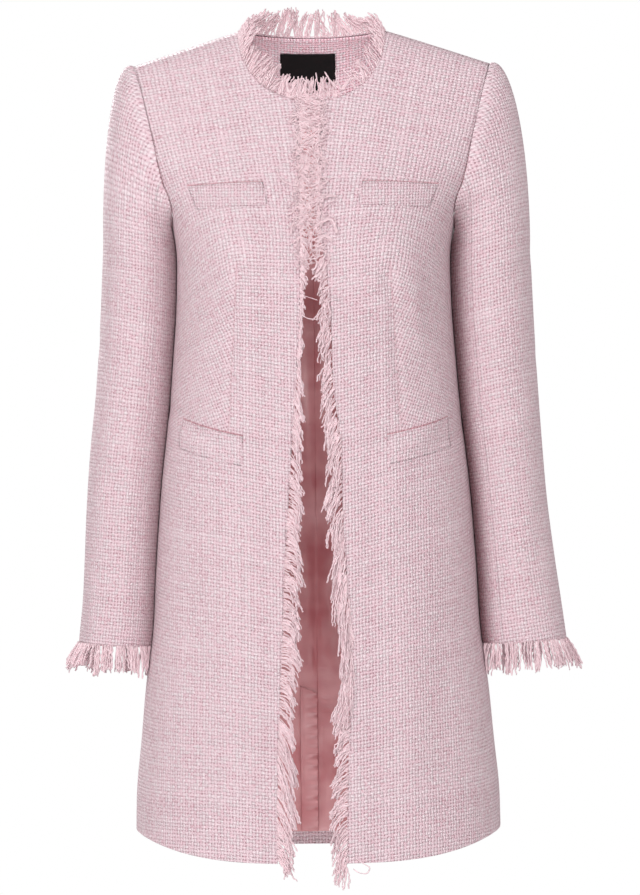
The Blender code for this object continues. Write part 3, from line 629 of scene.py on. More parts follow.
class Finish:
    # a material whose nodes are added one by one

    def __init__(self, name):
        self.material = bpy.data.materials.new(name)
        self.material.use_nodes = True
        self.tree = self.material.node_tree
        self.tree.nodes.clear()

    def node(self, kind, settings=None, inputs=None, output=0):
        made = self.tree.nodes.new(kind)
        for name, value in (settings or {}).items():
            if name == "stops":
                self.setStops(made.color_ramp, value)
            else:
                setattr(made, name, value)
        for name, value in (inputs or {}).items():
            if isinstance(value, Socket):
                self.tree.links.new(value.link, made.inputs[name])
            else:
                made.inputs[name].default_value = value
        if isinstance(output, tuple):
            return [Socket(self, made.outputs[name]) for name in output]
        return Socket(self, made.outputs[output]) if len(made.outputs) else None

    def setStops(self, ramp, stops):
        while len(ramp.elements) < len(stops):
            ramp.elements.new(1.0)
        for element, (place, colour) in zip(ramp.elements, stops):
            element.position = place
            element.color = (*colour, 1.0)

    def maths(self, operation, *values):
        return self.node("ShaderNodeMath", {"operation": operation}, dict(enumerate(values)))

    def clamped(self, value):
        return self.node("ShaderNodeMath", {"operation": "MULTIPLY", "use_clamp": True}, {0: value, 1: 1.0})

    def mixed(self, share, first, second, blend="MIX"):
        first = first if isinstance(first, Socket) else (*first, 1.0)
        second = second if isinstance(second, Socket) else (*second, 1.0)
        return self.node("ShaderNodeMix", {"data_type": "RGBA", "blend_type": blend},
                         {0: share, 6: first, 7: second}, 2)

    def noise(self, place, scale, detail=2.0, rough=0.5):
        return self.node("ShaderNodeTexNoise", None,
                         {"Vector": place, "Scale": scale, "Detail": detail, "Roughness": rough})

    def place(self, x, y):
        return self.node("ShaderNodeCombineXYZ", None, {0: x, 1: y})

    def drawnOut(self, x, y, scale, detail=2.0, rough=0.5):
        # noise with its own scale each way
        return self.noise(self.place(x * scale[0], y * scale[1]), 1.0, detail, rough)

    def coordsOf(self, layerName):
        coords = self.node("ShaderNodeUVMap", {"uv_map": layerName})
        return self.node("ShaderNodeSeparateXYZ", None, {0: coords}, ("X", "Y"))

    def bump(self, height, distance, strength=1.0):
        return self.node("ShaderNodeBump", None,
                         {"Height": height, "Distance": distance, "Strength": strength})

    def finished(self, **inputs):
        names = {key: key[0].upper() + key[1:] for key in inputs}
        names.update({"baseColor": "Base Color", "specular": "Specular IOR Level",
                      "sheen": "Sheen Weight", "sheenRoughness": "Sheen Roughness",
                      "sheenTint": "Sheen Tint"})
        shader = self.node("ShaderNodeBsdfPrincipled", None,
                           {names[key]: value for key, value in inputs.items()})
        self.node("ShaderNodeOutputMaterial", None, {"Surface": shader})
        return self.material


tweed = {
    "pale": (0.908, 0.818, 0.846),     # painted highlight on the glossy tops of the yarns
    "light": (0.832, 0.674, 0.717),
    "middle": (0.745, 0.535, 0.590),
    "pore": (0.500, 0.265, 0.310),     # painted shade in the pores between the yarns
    "sleeveShade": (0.260, 0.110, 0.130),     # painted shade, multiplied into the cloth where a sleeve lies close beside the body
    "seam": (0.690, 0.390, 0.420),     # painted shadow multiplied into the cloth in a pocket's mouth, and painted shade along a dart's crease
    "relief": 0.0020,
    "yarnHalf": 0.39,                  # share of the pitch
    "yarnVary": 0.15,
    "yarnTone": 0.06,                  # a paler yarn is thicker by this much
    "lift": 0.36,                      # share of a yarn's height that its crossings give
    "floats": (0.15, 1.25),            # least lift at a crossing, and what chance adds
    "wander": 0.0010,
    "wanderScale": 120.0,
    "slubScale": 190.0,
    "fibreScale": (1500.0, 300.0),     # across and along a yarn
    "speckleScale": 520.0,
    "patchScale": 26.0,
    "stops": {"pore": 0.00, "middle": 0.26, "light": 0.56, "pale": 0.90},
    "glow": {"base": 0.13, "raised": 0.44, "fibre": 0.85, "speckle": 0.95, "yarn": 0.10, "cell": 0.26,
             "patch": 0.14},
    "hair": {"fibre": 0.30, "speckle": 0.22},       # roughens the relief
    "roughness": 0.60,
    "polish": 0.16,                    # raised tops are smoother by this much
    "crossing": 0.08,                  # how softly one yarn dips under another
    "raised": (0.12, 1.30),            # height where the shaded pores end, and the rise above it
    "brightest": 0.97,
    "specular": 0.30,
    "sheen": 0.30,
    # keep the patterns of chance apart
    "apart": {"wander": (3.1, 1.7), "weft": 71.5, "slubWarp": 7.3, "slubWeft": (5.9, 40.0)},
}


# How the pink yarns' fluff catches the light
nap = {"sheenRoughness": 0.45, "sheenTint": (1.0, 0.86, 0.89, 1.0)}

# Painted shadow in the pocket mouths and painted shade along the dart on the fronts: how far below the line,
# half its width, and how dark
seamLines = {
    "chestMouth": (-0.0008, 0.0013, 0.60),
    "hipMouth": (-0.0008, 0.0014, 0.75),
    "dart": (0.0, 0.0011, 0.26),
}


def tweedFinish(name, shade=(1.0, 1.0, 1.0), sleeveShaded=False, seamShaded=False):
    # plain weave of thick uneven yarns: two sets of yarns cross, and the upper one shows
    finish = Finish(name)
    x, y = finish.coordsOf("Cloth")
    place = finish.place(x, y)
    apart = tweed["apart"]
    aside, below = apart["wander"]
    wanderX = finish.noise(place, tweed["wanderScale"]) - 0.5
    wanderY = finish.noise(finish.place(x + aside, y + below), tweed["wanderScale"]) - 0.5
    a = (x + wanderX * (2.0 * tweed["wander"])) / cloth["warpPitch"]
    b = (y + wanderY * (2.0 * tweed["wander"])) / cloth["weftPitch"]
    column = finish.maths("FLOOR", a)
    row = finish.maths("FLOOR", b)
    acrossWarp = a - column - 0.5
    acrossWeft = b - row - 0.5
    crossing = 1.0 - 2.0 * finish.maths("FLOORED_MODULO", column + row, 2.0)

    warpTone = finish.node("ShaderNodeTexWhiteNoise", {"noise_dimensions": "1D"}, {"W": column})
    weftTone = finish.node("ShaderNodeTexWhiteNoise", {"noise_dimensions": "1D"}, {"W": row + apart["weft"]})
    cellTone = finish.node("ShaderNodeTexWhiteNoise", {"noise_dimensions": "2D"},
                           {"Vector": finish.place(column + 0.5, row + 0.5)})
    slubWarp = finish.noise(finish.place(column * apart["slubWarp"], y * tweed["slubScale"]), 1.0)
    times, more = apart["slubWeft"]
    slubWeft = finish.noise(finish.place(x * tweed["slubScale"], row * times + more), 1.0)
    leastFloat, moreFloat = tweed["floats"]
    floats = crossing * (leastFloat + moreFloat * cellTone)

    def yarn(offset, slub, tone, lift):
        half = tweed["yarnHalf"] + tweed["yarnVary"] * (slub - 0.5) * 2.0 + tweed["yarnTone"] * tone
        rest = finish.clamped(1.0 - (offset / half) ** 2.0)
        return finish.maths("SQRT", rest) * (1.0 - tweed["lift"] + tweed["lift"] * lift)

    warp = yarn(acrossWarp, slubWarp, warpTone, floats * finish.maths("COSINE", acrossWeft * math.pi))
    weft = yarn(acrossWeft, slubWeft, weftTone, 0.0 - floats * finish.maths("COSINE", acrossWarp * math.pi))
    warpOver = finish.maths("GREATER_THAN", warp, weft)
    height = finish.maths("SMOOTH_MAX", warp, weft, tweed["crossing"])

    fibreWarp = finish.drawnOut(x, y, tweed["fibreScale"], rough=0.6)
    fibreWeft = finish.drawnOut(x, y, tweed["fibreScale"][::-1], rough=0.6)
    fibre = fibreWeft + (fibreWarp - fibreWeft) * warpOver
    tone = weftTone + (warpTone - weftTone) * warpOver
    speckle = finish.noise(place, tweed["speckleScale"], rough=0.6)
    patch = finish.noise(place, tweed["patchScale"])

    # the shade factors scale every colour; above 1 they paint the cloth lighter, as painted light
    def shaded(colour):
        return tuple(min(times * part, tweed["brightest"]) for times, part in zip(shade, colour))

    # the raised tops of the yarns are painted paler as a highlight and the pores darker as shade, mixed with
    # the yarns' own uneven tone
    poreTop, rise = tweed["raised"]
    raised = finish.clamped((height - poreTop) * rise)
    share = tweed["glow"]
    glow = finish.clamped(share["base"] + raised * share["raised"] + (fibre - 0.5) * share["fibre"]
                          + (speckle - 0.5) * share["speckle"] + (tone - 0.5) * share["yarn"]
                          + (cellTone - 0.5) * share["cell"] + (patch - 0.5) * share["patch"])
    stops = [(at, shaded(tweed[key])) for key, at in tweed["stops"].items()]
    colour = finish.node("ShaderNodeValToRGB", {"stops": stops}, {0: glow})
    # painted shade on a sleeve where it lies close beside the body
    if sleeveShaded:
        sleeveShadeShare, _ = finish.coordsOf("Fold")
        colour = finish.mixed(sleeveShadeShare, colour, tweed["sleeveShade"], "MULTIPLY")
    # painted shadow along the pocket mouths and painted shade along the dart
    for layerName, (below, half, dark) in (seamLines if seamShaded else {}).items():
        alongLine, beside = finish.coordsOf(layerName)
        band = finish.clamped(1.0 - ((beside - below) / half) ** 2.0)
        onLine = finish.maths("GREATER_THAN", alongLine, 0.0) * finish.maths("LESS_THAN", alongLine, 1.0)
        colour = finish.mixed(band * onLine * dark, colour, tweed["seam"], "MULTIPLY")
    hair = tweed["hair"]
    surface = height + (fibre - 0.5) * hair["fibre"] + (speckle - 0.5) * hair["speckle"]
    return finish.finished(baseColor=colour, roughness=tweed["roughness"] - tweed["polish"] * raised,
                           specular=tweed["specular"], sheen=tweed["sheen"], **nap,
                           normal=finish.bump(surface, tweed["relief"]))


yarnLook = {
    "pale": (0.950, 0.815, 0.845),
    "shade": (0.800, 0.490, 0.545),
    "streakScale": (2600.0, 160.0),    # round and along a yarn
    "tuftScale": (90.0, 260.0),
    "mix": {"streak": 1.1, "tuft": 0.9, "pale": 0.60},
    "roughness": 0.55,
    "specular": 0.30,
    "sheen": 0.35,
    "relief": 0.0004,
}


def yarnFinish(name):
    # bunched fibres of a pulled yarn, streaked along its length
    finish = Finish(name)
    x, y = finish.coordsOf("Cloth")
    streak = finish.drawnOut(x, y, yarnLook["streakScale"], rough=0.6)
    tuft = finish.drawnOut(x, y, yarnLook["tuftScale"], 1.0)
    share = yarnLook["mix"]
    paleness = finish.clamped((streak - 0.5) * share["streak"] + (tuft - 0.5) * share["tuft"]
                              + share["pale"])
    colour = finish.mixed(paleness, yarnLook["shade"], yarnLook["pale"])
    return finish.finished(baseColor=colour, roughness=yarnLook["roughness"],
                           specular=yarnLook["specular"], sheen=yarnLook["sheen"], **nap,
                           normal=finish.bump(streak, yarnLook["relief"]))


satin = {
    "light": (0.825, 0.445, 0.460),
    "deep": (0.590, 0.195, 0.210),
    "cloudScale": 22.0,
    "cloudRange": (2.6, -0.85),        # contrast and shift of the clouds
    "threadScale": (500.0, 5200.0),
    "threadShare": 0.25,
    "threadHeight": 0.05,
    "cloudy": 0.12,                    # how much the clouds change the roughness
    "rippleScale": (60.0, 130.0),
    "roughness": 0.38,
    "specular": 0.9,
    "relief": 0.0009,
    "reliefShare": 0.7,
}


def satinFinish(name):
    # smooth lining with a very fine weft and faint pressed ripples
    finish = Finish(name)
    x, y = finish.coordsOf("Cloth")
    cloud = finish.noise(finish.place(x, y), satin["cloudScale"])
    thread = finish.drawnOut(x, y, satin["threadScale"], 1.0)
    ripple = finish.drawnOut(x, y, satin["rippleScale"])
    contrast, shift = satin["cloudRange"]
    lightness = finish.clamped(cloud * contrast + shift + (thread - 0.5) * satin["threadShare"])
    colour = finish.mixed(lightness, satin["deep"], satin["light"])
    height = thread * satin["threadHeight"] + ripple
    return finish.finished(baseColor=colour, roughness=satin["roughness"] + satin["cloudy"] * (cloud - 0.5),
                           specular=satin["specular"],
                           normal=finish.bump(height, satin["relief"], satin["reliefShare"]))


tape = {"black": (0.0016, 0.0013, 0.0016), "worn": (0.0070, 0.0055, 0.0065), "rib": 0.0006,
        "relief": 0.00012, "reliefShare": 0.6, "roughness": 0.62, "uneven": 0.1, "specular": 0.16,
        "threadScale": (900.0, 2500.0)}


def labelFinish(name):
    # black satin tape with fine ribs
    finish = Finish(name)
    x, y = finish.coordsOf("Cloth")
    rib = finish.maths("SINE", y * (2.0 * math.pi / tape["rib"]))
    thread = finish.drawnOut(x, y, tape["threadScale"], 1.0)
    colour = finish.mixed(thread, tape["black"], tape["worn"])
    return finish.finished(baseColor=colour, roughness=tape["roughness"] + tape["uneven"] * (thread - 0.5),
                           specular=tape["specular"],
                           normal=finish.bump(rib, tape["relief"], tape["reliefShare"]))


tweedCloth = tweedFinish("pinkTweed")
frontCloth = tweedFinish("pinkTweedFront", seamShaded=True)
sleeveCloth = tweedFinish("pinkTweedSleeve", sleeveShaded=True)
# the facing is painted lighter and pinker, as painted light inside the back neck where the lamps reach
# little
facingCloth = tweedFinish("pinkTweedFacing", shade=(1.30, 1.17, 1.20))
yarn = yarnFinish("pulledYarn")
liningSatin = satinFinish("roseSatin")
labelTape = labelFinish("blackTape")
print("finishes ready")


def dress(piece, material, slotName, *nodes):
    # material, body, slot (not used) and the imported node that this piece stands for
    piece.data.materials.append(material)
    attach(piece, "root")
    if nodes:
        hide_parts(*nodes)
    return piece


def flatSize(piece):
    # the cut's own rectangle, from its cloth coordinates
    layer = piece.data.uv_layers["Cloth"]
    coords = np.empty(len(layer.uv) * 2, dtype=np.float32)
    layer.uv.foreach_get("vector", coords)
    span = np.ptp(coords.reshape(-1, 2), axis=0)
    return float(span[0]), float(span[1])


def declareSheet(piece):
    width, length = flatSize(piece)


# Fronts and backs

dart = {"across": 0.0800, "lean": 0.060, "top": 0.250, "bottom": 0.432, "depth": 0.0021, "width": 0.0042,
        "fade": 0.6, "column": 20, "columnShare": 0.42}

# The small hollow at the dart's tip, and the swell beside it
dartTip = {"across": 0.0755, "drop": 0.276, "width": 0.0060, "height": 0.0150, "depth": 0.0026,
           "swell": 0.0012, "swellAcross": 0.0900}

# Pocket welts: degrees round the body, level of the mouth, its rise outwards, height of the welt
welts = {
    "chest": {"from": 11.8, "to": 46.5, "drop": 0.1668, "rise": -0.0025, "height": 0.0250},
    "hip": {"from": 24.2, "to": 61.4, "drop": 0.4335, "rise": 0.0191, "height": 0.0308},
}

# Between dart, armhole and hip pocket the cloth lies turned, because the dart takes it in there
turnedSide = {"turn": math.radians(24.0), "tipDrop": 0.268, "from": math.radians(-60.0),
              "to": math.radians(100.0), "pocket": (0.4490, 0.318333)}      # its drop and slope


def dartAcross(drop):
    return dart["across"] + dart["lean"] * np.clip(drop - dart["top"], 0.0, 0.2)


def frontNeckAcross(side, count):
    edgeTop = float(frontEdge.at(side, 0.0))
    turns = np.linspace(0.0, math.pi / 2.0, count + 1)
    return edgeTop + (neck["halfWidth"] - edgeTop) * np.cos(turns)


def underarmSteps(count):
    turn = np.sin(np.linspace(0.0, math.pi / 2.0, count + 1))[1:]
    return armhole["turnLevel"] + (armhole["underarmLevel"] - armhole["turnLevel"]) * turn


def downToHem(upper):
    # the given levels beside the armhole, followed by those round the underarm and down to the hem
    hem = body["hemLevel"]
    return np.concatenate((upper, underarmSteps(counts["underarm"]),
                           levelSteps(armhole["underarmLevel"], hem - cloth["hemBand"]),
                           hem - np.array(cloth["hemRows"])))


def frontRows(side):
    # levels down a front and the distance of its inner edge at each
    neckAcross = frontNeckAcross(side, counts["frontNeck"])
    neckLevels = frontNeckline(neckAcross)
    lower = downToHem(levelSteps(neckLevels[-1], armhole["turnLevel"]))
    return (np.concatenate((neckLevels, lower)),
            np.concatenate((neckAcross, frontEdge.at(side, lower))))


class DartTrough:
    # the dart's own crease, which follows its slanting line and ends in a hollow

    def height(self, across, drop):
        place = np.clip((drop - dart["top"]) / (dart["bottom"] - dart["top"]), 0.0, 1.0)
        share = np.sin(math.pi * place) ** dart["fade"]
        trough = dart["depth"] * share * np.exp(-((across - dartAcross(drop)) / dart["width"]) ** 2)
        near = np.exp(-((drop - dartTip["drop"]) / dartTip["height"]) ** 2)
        hollow = dartTip["depth"] * np.exp(-((across - dartTip["across"]) / dartTip["width"]) ** 2)
        swell = dartTip["swell"] * np.exp(-((across - dartTip["swellAcross"]) / dartTip["width"]) ** 2)
        return near * (swell - hollow) - trough


frontForms = {side: frontCreases[side] + (DartTrough(),) for side in sides}


def turnedPart(coords, across, drop):
    # the cloth turned round the dart's tip, more and more from one bearing to another (0 is up and
    # outwards is positive), and the squares that take these coordinates
    row = int(np.argmin(np.abs(drop[:, dart["column"]] - turnedSide["tipDrop"])))
    tip = coords[row, dart["column"]]
    offset = coords - tip
    bearing = np.arctan2(offset[..., 0], -offset[..., 1])
    share = ease((bearing - turnedSide["from"]) / (turnedSide["to"] - turnedSide["from"]))
    column = np.arange(coords.shape[1])[None, :]
    share = np.where((column >= dart["column"]) & (np.abs(bearing) > turnedSide["to"]), 1.0, share)
    cosine = np.cos(turnedSide["turn"] * share)
    sine = np.sin(turnedSide["turn"] * share)
    turned = tip + np.stack((offset[..., 0] * cosine + offset[..., 1] * sine,
                             offset[..., 1] * cosine - offset[..., 0] * sine), axis=-1)
    middle = (across[:-1, :-1] + across[1:, 1:]) / 2.0
    low = (drop[:-1, :-1] + drop[1:, 1:]) / 2.0
    pocketLow, pocketSlope = turnedSide["pocket"]
    pocketTop = pocketLow - pocketSlope * (middle - dart["across"])
    beyond = (column[:, :-1] >= dart["column"]) & (low < pocketTop)
    above = np.arange(len(coords) - 1)[:, None] < row
    return turned, beyond | above


def seamMarks(angle, across, drop):
    # the place along each line of painted shade, from 0 to 1, and the distance below or beside it
    marks = {}
    for kind, size in welts.items():
        share = (np.degrees(angle) - size["from"]) / (size["to"] - size["from"])
        marks[kind + "Mouth"] = np.stack((share, drop - size["drop"] + size["rise"] * share), axis=-1)
    place = (drop - dart["top"]) / (dart["bottom"] - dart["top"])
    marks["dart"] = np.stack((place, across - dartAcross(drop)), axis=-1)
    return marks


def makeFront(side):
    levels, inner = frontRows(side)
    breakAngle = angleAt(dartAcross(levels), levels)
    angle, level = spacedColumns(angleAt(inner, levels), armholeAngle(levels, "front"), levels,
                                 counts["front"], breakAngle, dart["columnShare"])
    piece = bodySheet("front" + side.capitalize(), angle, level, 0.0, cloth["tweedThickness"], side,
                      frontForms[side], turnedPart=turnedPart, marks=seamMarks)
    return dress(piece, frontCloth, "tweed", "front_" + side)


def backRows():
    neckAcross = neck["halfWidth"] * np.cos(np.linspace(0.0, math.pi / 2.0, counts["backNeck"] + 1))
    neckLevels = backNeckline(neckAcross)
    lower = downToHem(rootSteps(neckLevels[-1], armhole["turnLevel"], counts["backShoulder"]))
    return (np.concatenate((neckLevels, lower)),
            np.concatenate((neckAcross, np.zeros(len(lower)))))


def makeBack(side):
    levels, inner = backRows()
    angle, level = spacedColumns(math.pi - angleAt(inner, levels), math.pi - armholeAngle(levels, "back"),
                                 levels, counts["back"])
    piece = bodySheet("back" + side.capitalize(), angle, level, 0.0, cloth["tweedThickness"], side,
                      backCreases[side])
    return dress(piece, tweedCloth, "tweed", "back_" + side)


fronts = {side: makeFront(side) for side in sides}
backs = {side: makeBack(side) for side in sides}
print("fronts and backs")


# Sleeves

sleeve = {
    "ringDrop": 0.235,
    "cuffDrop": 0.655,
    "cuffTilt": 0.0024,
    "power": 2.25,
    "foldPower": 1.75,
    "tuck": 0.006,
    "clear": 0.0005,
    "soft": 0.0012,
    "capForward": 0.16,
    "capTop": {"out": 0.90, "up": 0.45, "reach": 0.0225, "turnDown": 0.66},
    "capUnderarm": {"out": 0.30, "up": -0.75, "reach": 0.0060, "turnDown": 0.36},
    "frontSeam": math.radians(118.0),
    "backSeam": math.radians(246.0),
    "radius": 0.050,
    "rollDepth": 0.0002,
    "rollWidth": 0.0020,
    "seamGap": 0.0001,
    "cuffRoll": {"depth": 0.0016, "width": 0.0050},
    # painted shade where a sleeve lies close beside the body: its strength on each sleeve, how far from the
    # body it reaches, and the drop where it begins and the length over which it comes in
    "sleeveShadeSize": {"right": 0.50, "left": 1.0, "reach": 0.0135, "from": 0.165, "length": 0.070},
    "edge": math.radians(0.15),         # gap at each seam
    "endColumns": (0.15, 0.45),
    "cuffRows": (0.006, 0.0025, 0.0),
    "capCrowding": 1.25,                # rows crowd towards the armhole
    "tiltFrom": 0.5,
    "cutFrom": 0.2,
    "weaveFrom": 1.25,                  # the ring whose girth the weave follows
}

# How much the weft drops towards the body on each sleeve, as a slope
sleeveSlope = SizeTable(
    ("drop", "right", "left"),
    (
        (0.00, 0.45, 0.36),
        (0.12, 0.36, 0.36),
        (0.20, 0.22, 0.30),
        (0.30, 0.20, 0.26),
        (0.45, 0.12, 0.22),
        (0.66, 0.10, 0.16),
    ),
)


def armholePoint(turn):
    halfTurn = np.where(turn <= math.pi, turn, 2.0 * math.pi - turn)
    level = armhole["underarmLevel"] * (1.0 - np.cos(halfTurn)) / 2.0
    frontAngle = armholeAngle(level, "front")
    backAngle = math.pi - armholeAngle(level, "back")
    return bodyPoint(np.where(turn <= math.pi, frontAngle, backAngle), level)


def sleeveRing(turn, drop, side):
    outer = sleeveSections.at(side, drop)
    inner = bodySections.at("halfWidth", drop) - sleeve["tuck"]
    depth = sleeveSections.at(side + "Depth", drop)
    cosine = np.cos(turn)
    sine = np.sin(turn)
    # rounder where it faces the body's front, so that a deep fold shows there
    exponent = np.where((cosine < 0.0) & (sine > 0.0), 2.0 / sleeve["foldPower"], 2.0 / sleeve["power"])
    reach = np.sign(cosine) * np.abs(cosine) ** exponent
    across = (outer + inner) / 2.0 + (outer - inner) / 2.0 * reach
    along = sleeveSections.at("middle", drop) - depth * np.sign(sine) * np.abs(sine) ** exponent
    limit = bodyHalfWidth(along, drop) + sleeve["clear"]
    across = (across + limit + np.sqrt((across - limit) ** 2 + sleeve["soft"] ** 2)) / 2.0
    low = ease((drop - sleeve["tiltFrom"]) / (sleeve["cuffDrop"] - sleeve["tiltFrom"]))
    tilt = sleeve["cuffTilt"] * reach * low
    return pointsOf(across, along, tilt - drop)


def sleevePoint(turn, place, side):
    turn, place = np.broadcast_arrays(np.asarray(turn, float), np.asarray(place, float))
    drop = sleeve["ringDrop"] + (sleeve["cuffDrop"] - sleeve["ringDrop"]) * np.clip(place - 1.0, 0.0, 1.0)
    ring = sleeveRing(turn, drop, side)
    start = armholePoint(np.mod(turn, 2.0 * math.pi))
    end = sleeveRing(turn, np.full(turn.shape, sleeve["ringDrop"]), side)
    upper = (1.0 + np.cos(turn)) / 2.0

    def between(name, share):
        return sleeve["capUnderarm"][name] + (sleeve["capTop"][name] - sleeve["capUnderarm"][name]) * share

    forward = -sleeve["capForward"] * np.sin(turn)
    outWay = unit(pointsOf(between("out", upper), forward, between("up", upper)))
    turnDown = (start[..., 2] - end[..., 2]) * between("turnDown", upper)
    start = start + outWay * sleeve["seamGap"]
    lead = start + outWay * between("reach", np.sqrt(upper))[..., None]
    below = end + pointsOf(0.0, 0.0, turnDown)
    part = np.clip(place, 0.0, 1.0)[..., None]
    rest = 1.0 - part
    cap = (start * rest ** 3 + 3.0 * lead * rest ** 2 * part + 3.0 * below * rest * part ** 2
           + end * part ** 3)
    return np.where(place[..., None] <= 1.0, cap, ring)


def sleeveNormal(turn, place, side):
    step = 1e-3
    before = np.where(place > 1.0, np.maximum(place - step, 1.0), np.maximum(place - step, 0.0))
    after = np.where(place < 1.0, np.minimum(place + step, 1.0), np.minimum(place + step, 2.0))
    down = sleevePoint(turn, after, side) - sleevePoint(turn, before, side)
    roundWay = sleevePoint(turn + step, place, side) - sleevePoint(turn - step, place, side)
    return unit(np.cross(roundWay, down))


# From seam to seam round the arm, and the columns between them
sleeveParts = {
    "upper": (sleeve["backSeam"] - 2.0 * math.pi, sleeve["frontSeam"], counts["upperSleeve"]),
    "under": (sleeve["frontSeam"], sleeve["backSeam"], counts["underSleeve"]),
}


def makeSleevePiece(kind, side):
    firstTurn, lastTurn, columns = sleeveParts[kind]
    turns = np.linspace(firstTurn + sleeve["edge"], lastTurn - sleeve["edge"], columns + 1)
    narrow = np.array(sleeve["endColumns"])
    turns = np.concatenate((turns[:1], turns[:1] + np.diff(turns[:2]) * narrow, turns[1:-1],
                            turns[-1:] - np.diff(turns[-2:]) * narrow[::-1], turns[-1:]))
    places = np.concatenate((shares(counts["sleeveCap"]) ** sleeve["capCrowding"],
                             np.linspace(1.0, 2.0, counts["arm"] + 1)[1:-1],
                             2.0 - np.array(sleeve["cuffRows"])))
    turn, place = np.meshgrid(turns, places)
    outer = sleevePoint(turn, place, side)
    normal = sleeveNormal(turn, place, side)
    foldTurn = np.where(turn > math.pi, turn - 2.0 * math.pi, turn)
    outer = outer + normal * creaseHeight(sleeveCreases[side], foldTurn * sleeve["radius"],
                                          -outer[..., 2])[..., None]
    # painted shade next to the body, stronger on the wearer's left sleeve, which the finish multiplies into
    # the cloth
    sleeveShadeSize = sleeve["sleeveShadeSize"]
    gap = outer[..., 0] - bodyHalfWidth(outer[..., 1], -outer[..., 2])
    sleeveShade = sleeveShadeSize[side] * np.exp(-(gap / sleeveShadeSize["reach"]) ** 2)
    sleeveShade = sleeveShade * ease((-outer[..., 2] - sleeveShadeSize["from"]) / sleeveShadeSize["length"])
    outer = rolledIn(outer, normal, sleeve["rollDepth"], sleeve["rollWidth"])
    cuffRoll = sleeve["cuffRoll"]
    cuffPart = (place - 2.0) * (sleeve["cuffDrop"] - sleeve["ringDrop"]) / cuffRoll["width"] + 1.0
    outer = outer - normal * (cuffRoll["depth"] * np.clip(cuffPart, 0.0, 1.0) ** 3)[..., None]
    # the weave runs straight down the sleeve from a ring below the underarm
    ringTurns = np.linspace(-2.5, 5.0, 400)
    ring = sleevePoint(ringTurns, np.full(ringTurns.shape, sleeve["weaveFrom"]), side)
    aroundRing = runLength(ring[:, :2])
    around = np.interp(turn, ringTurns, aroundRing) - np.interp(0.0, ringTurns, aroundRing)
    slope = sleeveSlope.at(side, -outer[..., 2])
    coords = np.stack((around, sleeve["cutFrom"] - outer[..., 2] + slope * outer[..., 0]), axis=-1)
    mirror = mirrors[side]
    piece = clothPiece(kind + "Sleeve" + side.capitalize(), outer * mirror, normal * mirror,
                       cloth["tweedThickness"], coords, side == "left",
                       marks={"Fold": np.stack((sleeveShade, sleeveShade), axis=-1)})
    return dress(piece, sleeveCloth, "tweed", kind + "_sleeve_" + side)


sleeves = {(kind, side): makeSleevePiece(kind, side) for side in sides for kind in sleeveParts}
print("sleeves")


# Inside of the back

facing = {"halfWidth": 0.112, "level": 0.105, "layer": 0.0018, "rootGap": 0.0004}
lining = {"layer": 0.0005, "endDrop": 0.8655, "spacing": 0.0045, "startAbove": 0.004}
vent = {"top": 0.7060, "slant": 0.0085, "width": 0.0190, "layer": 0.0013,
        "pucker": 0.0112, "puckerDepth": 0.0010, "unevenBeat": 410.0, "crowding": 1.4,
        "cutFrom": 0.31}
label = {"width": 0.0616, "centre": -0.0046, "top": 0.0145, "height": 0.0300, "layer": 0.0012}
tab = {"width": 0.0270, "height": 0.0110}


def insideBack(across, level, depth):
    # the back's form, depth inside its face, and the outward way there
    angle = angleInBack(across, level)
    normal = bodyNormal(angle, level)
    return bodyPoint(angle, level) - normal * depth, normal


def makeFacing():
    rows, columns = counts["facing"]
    half = facing["halfWidth"] * np.sin(np.linspace(0.0, math.pi / 2.0, columns + 1))
    across = np.concatenate((-half[:0:-1], half))[None, :]
    topRoot = np.sqrt(backNeckline(np.abs(across)))
    share = shares(rows)[:, None]
    level = (topRoot + (math.sqrt(facing["level"]) - facing["rootGap"] - topRoot) * share) ** 2
    across = across + np.zeros_like(level)
    outer, normal = insideBack(across, level, cloth["tweedThickness"] + facing["layer"])
    coords = np.stack((across, runLength(outer[..., 1:])), axis=-1)
    piece = clothPiece("backNeckFacing", outer, normal, cloth["tweedThickness"], coords)
    return dress(piece, facingCloth, "tweed", "back_neck_facing")


def makeTape(name, node, width, top, height):
    rows, columns = counts["label"]
    across = label["centre"] + np.linspace(-0.5, 0.5, columns + 1)[None, :] * width
    drop = np.linspace(top, top + height, rows + 1)[:, None] + np.zeros_like(across)
    across = across + np.zeros_like(drop)
    depth = 2.0 * cloth["tweedThickness"] + facing["layer"] + label["layer"]
    outer, normal = insideBack(across, levelAt(np.abs(across), drop), depth)
    coords = np.stack((across, drop), axis=-1)
    piece = clothPiece(name, outer, normal, cloth["labelThickness"], coords)
    return dress(piece, labelTape, "label", node)


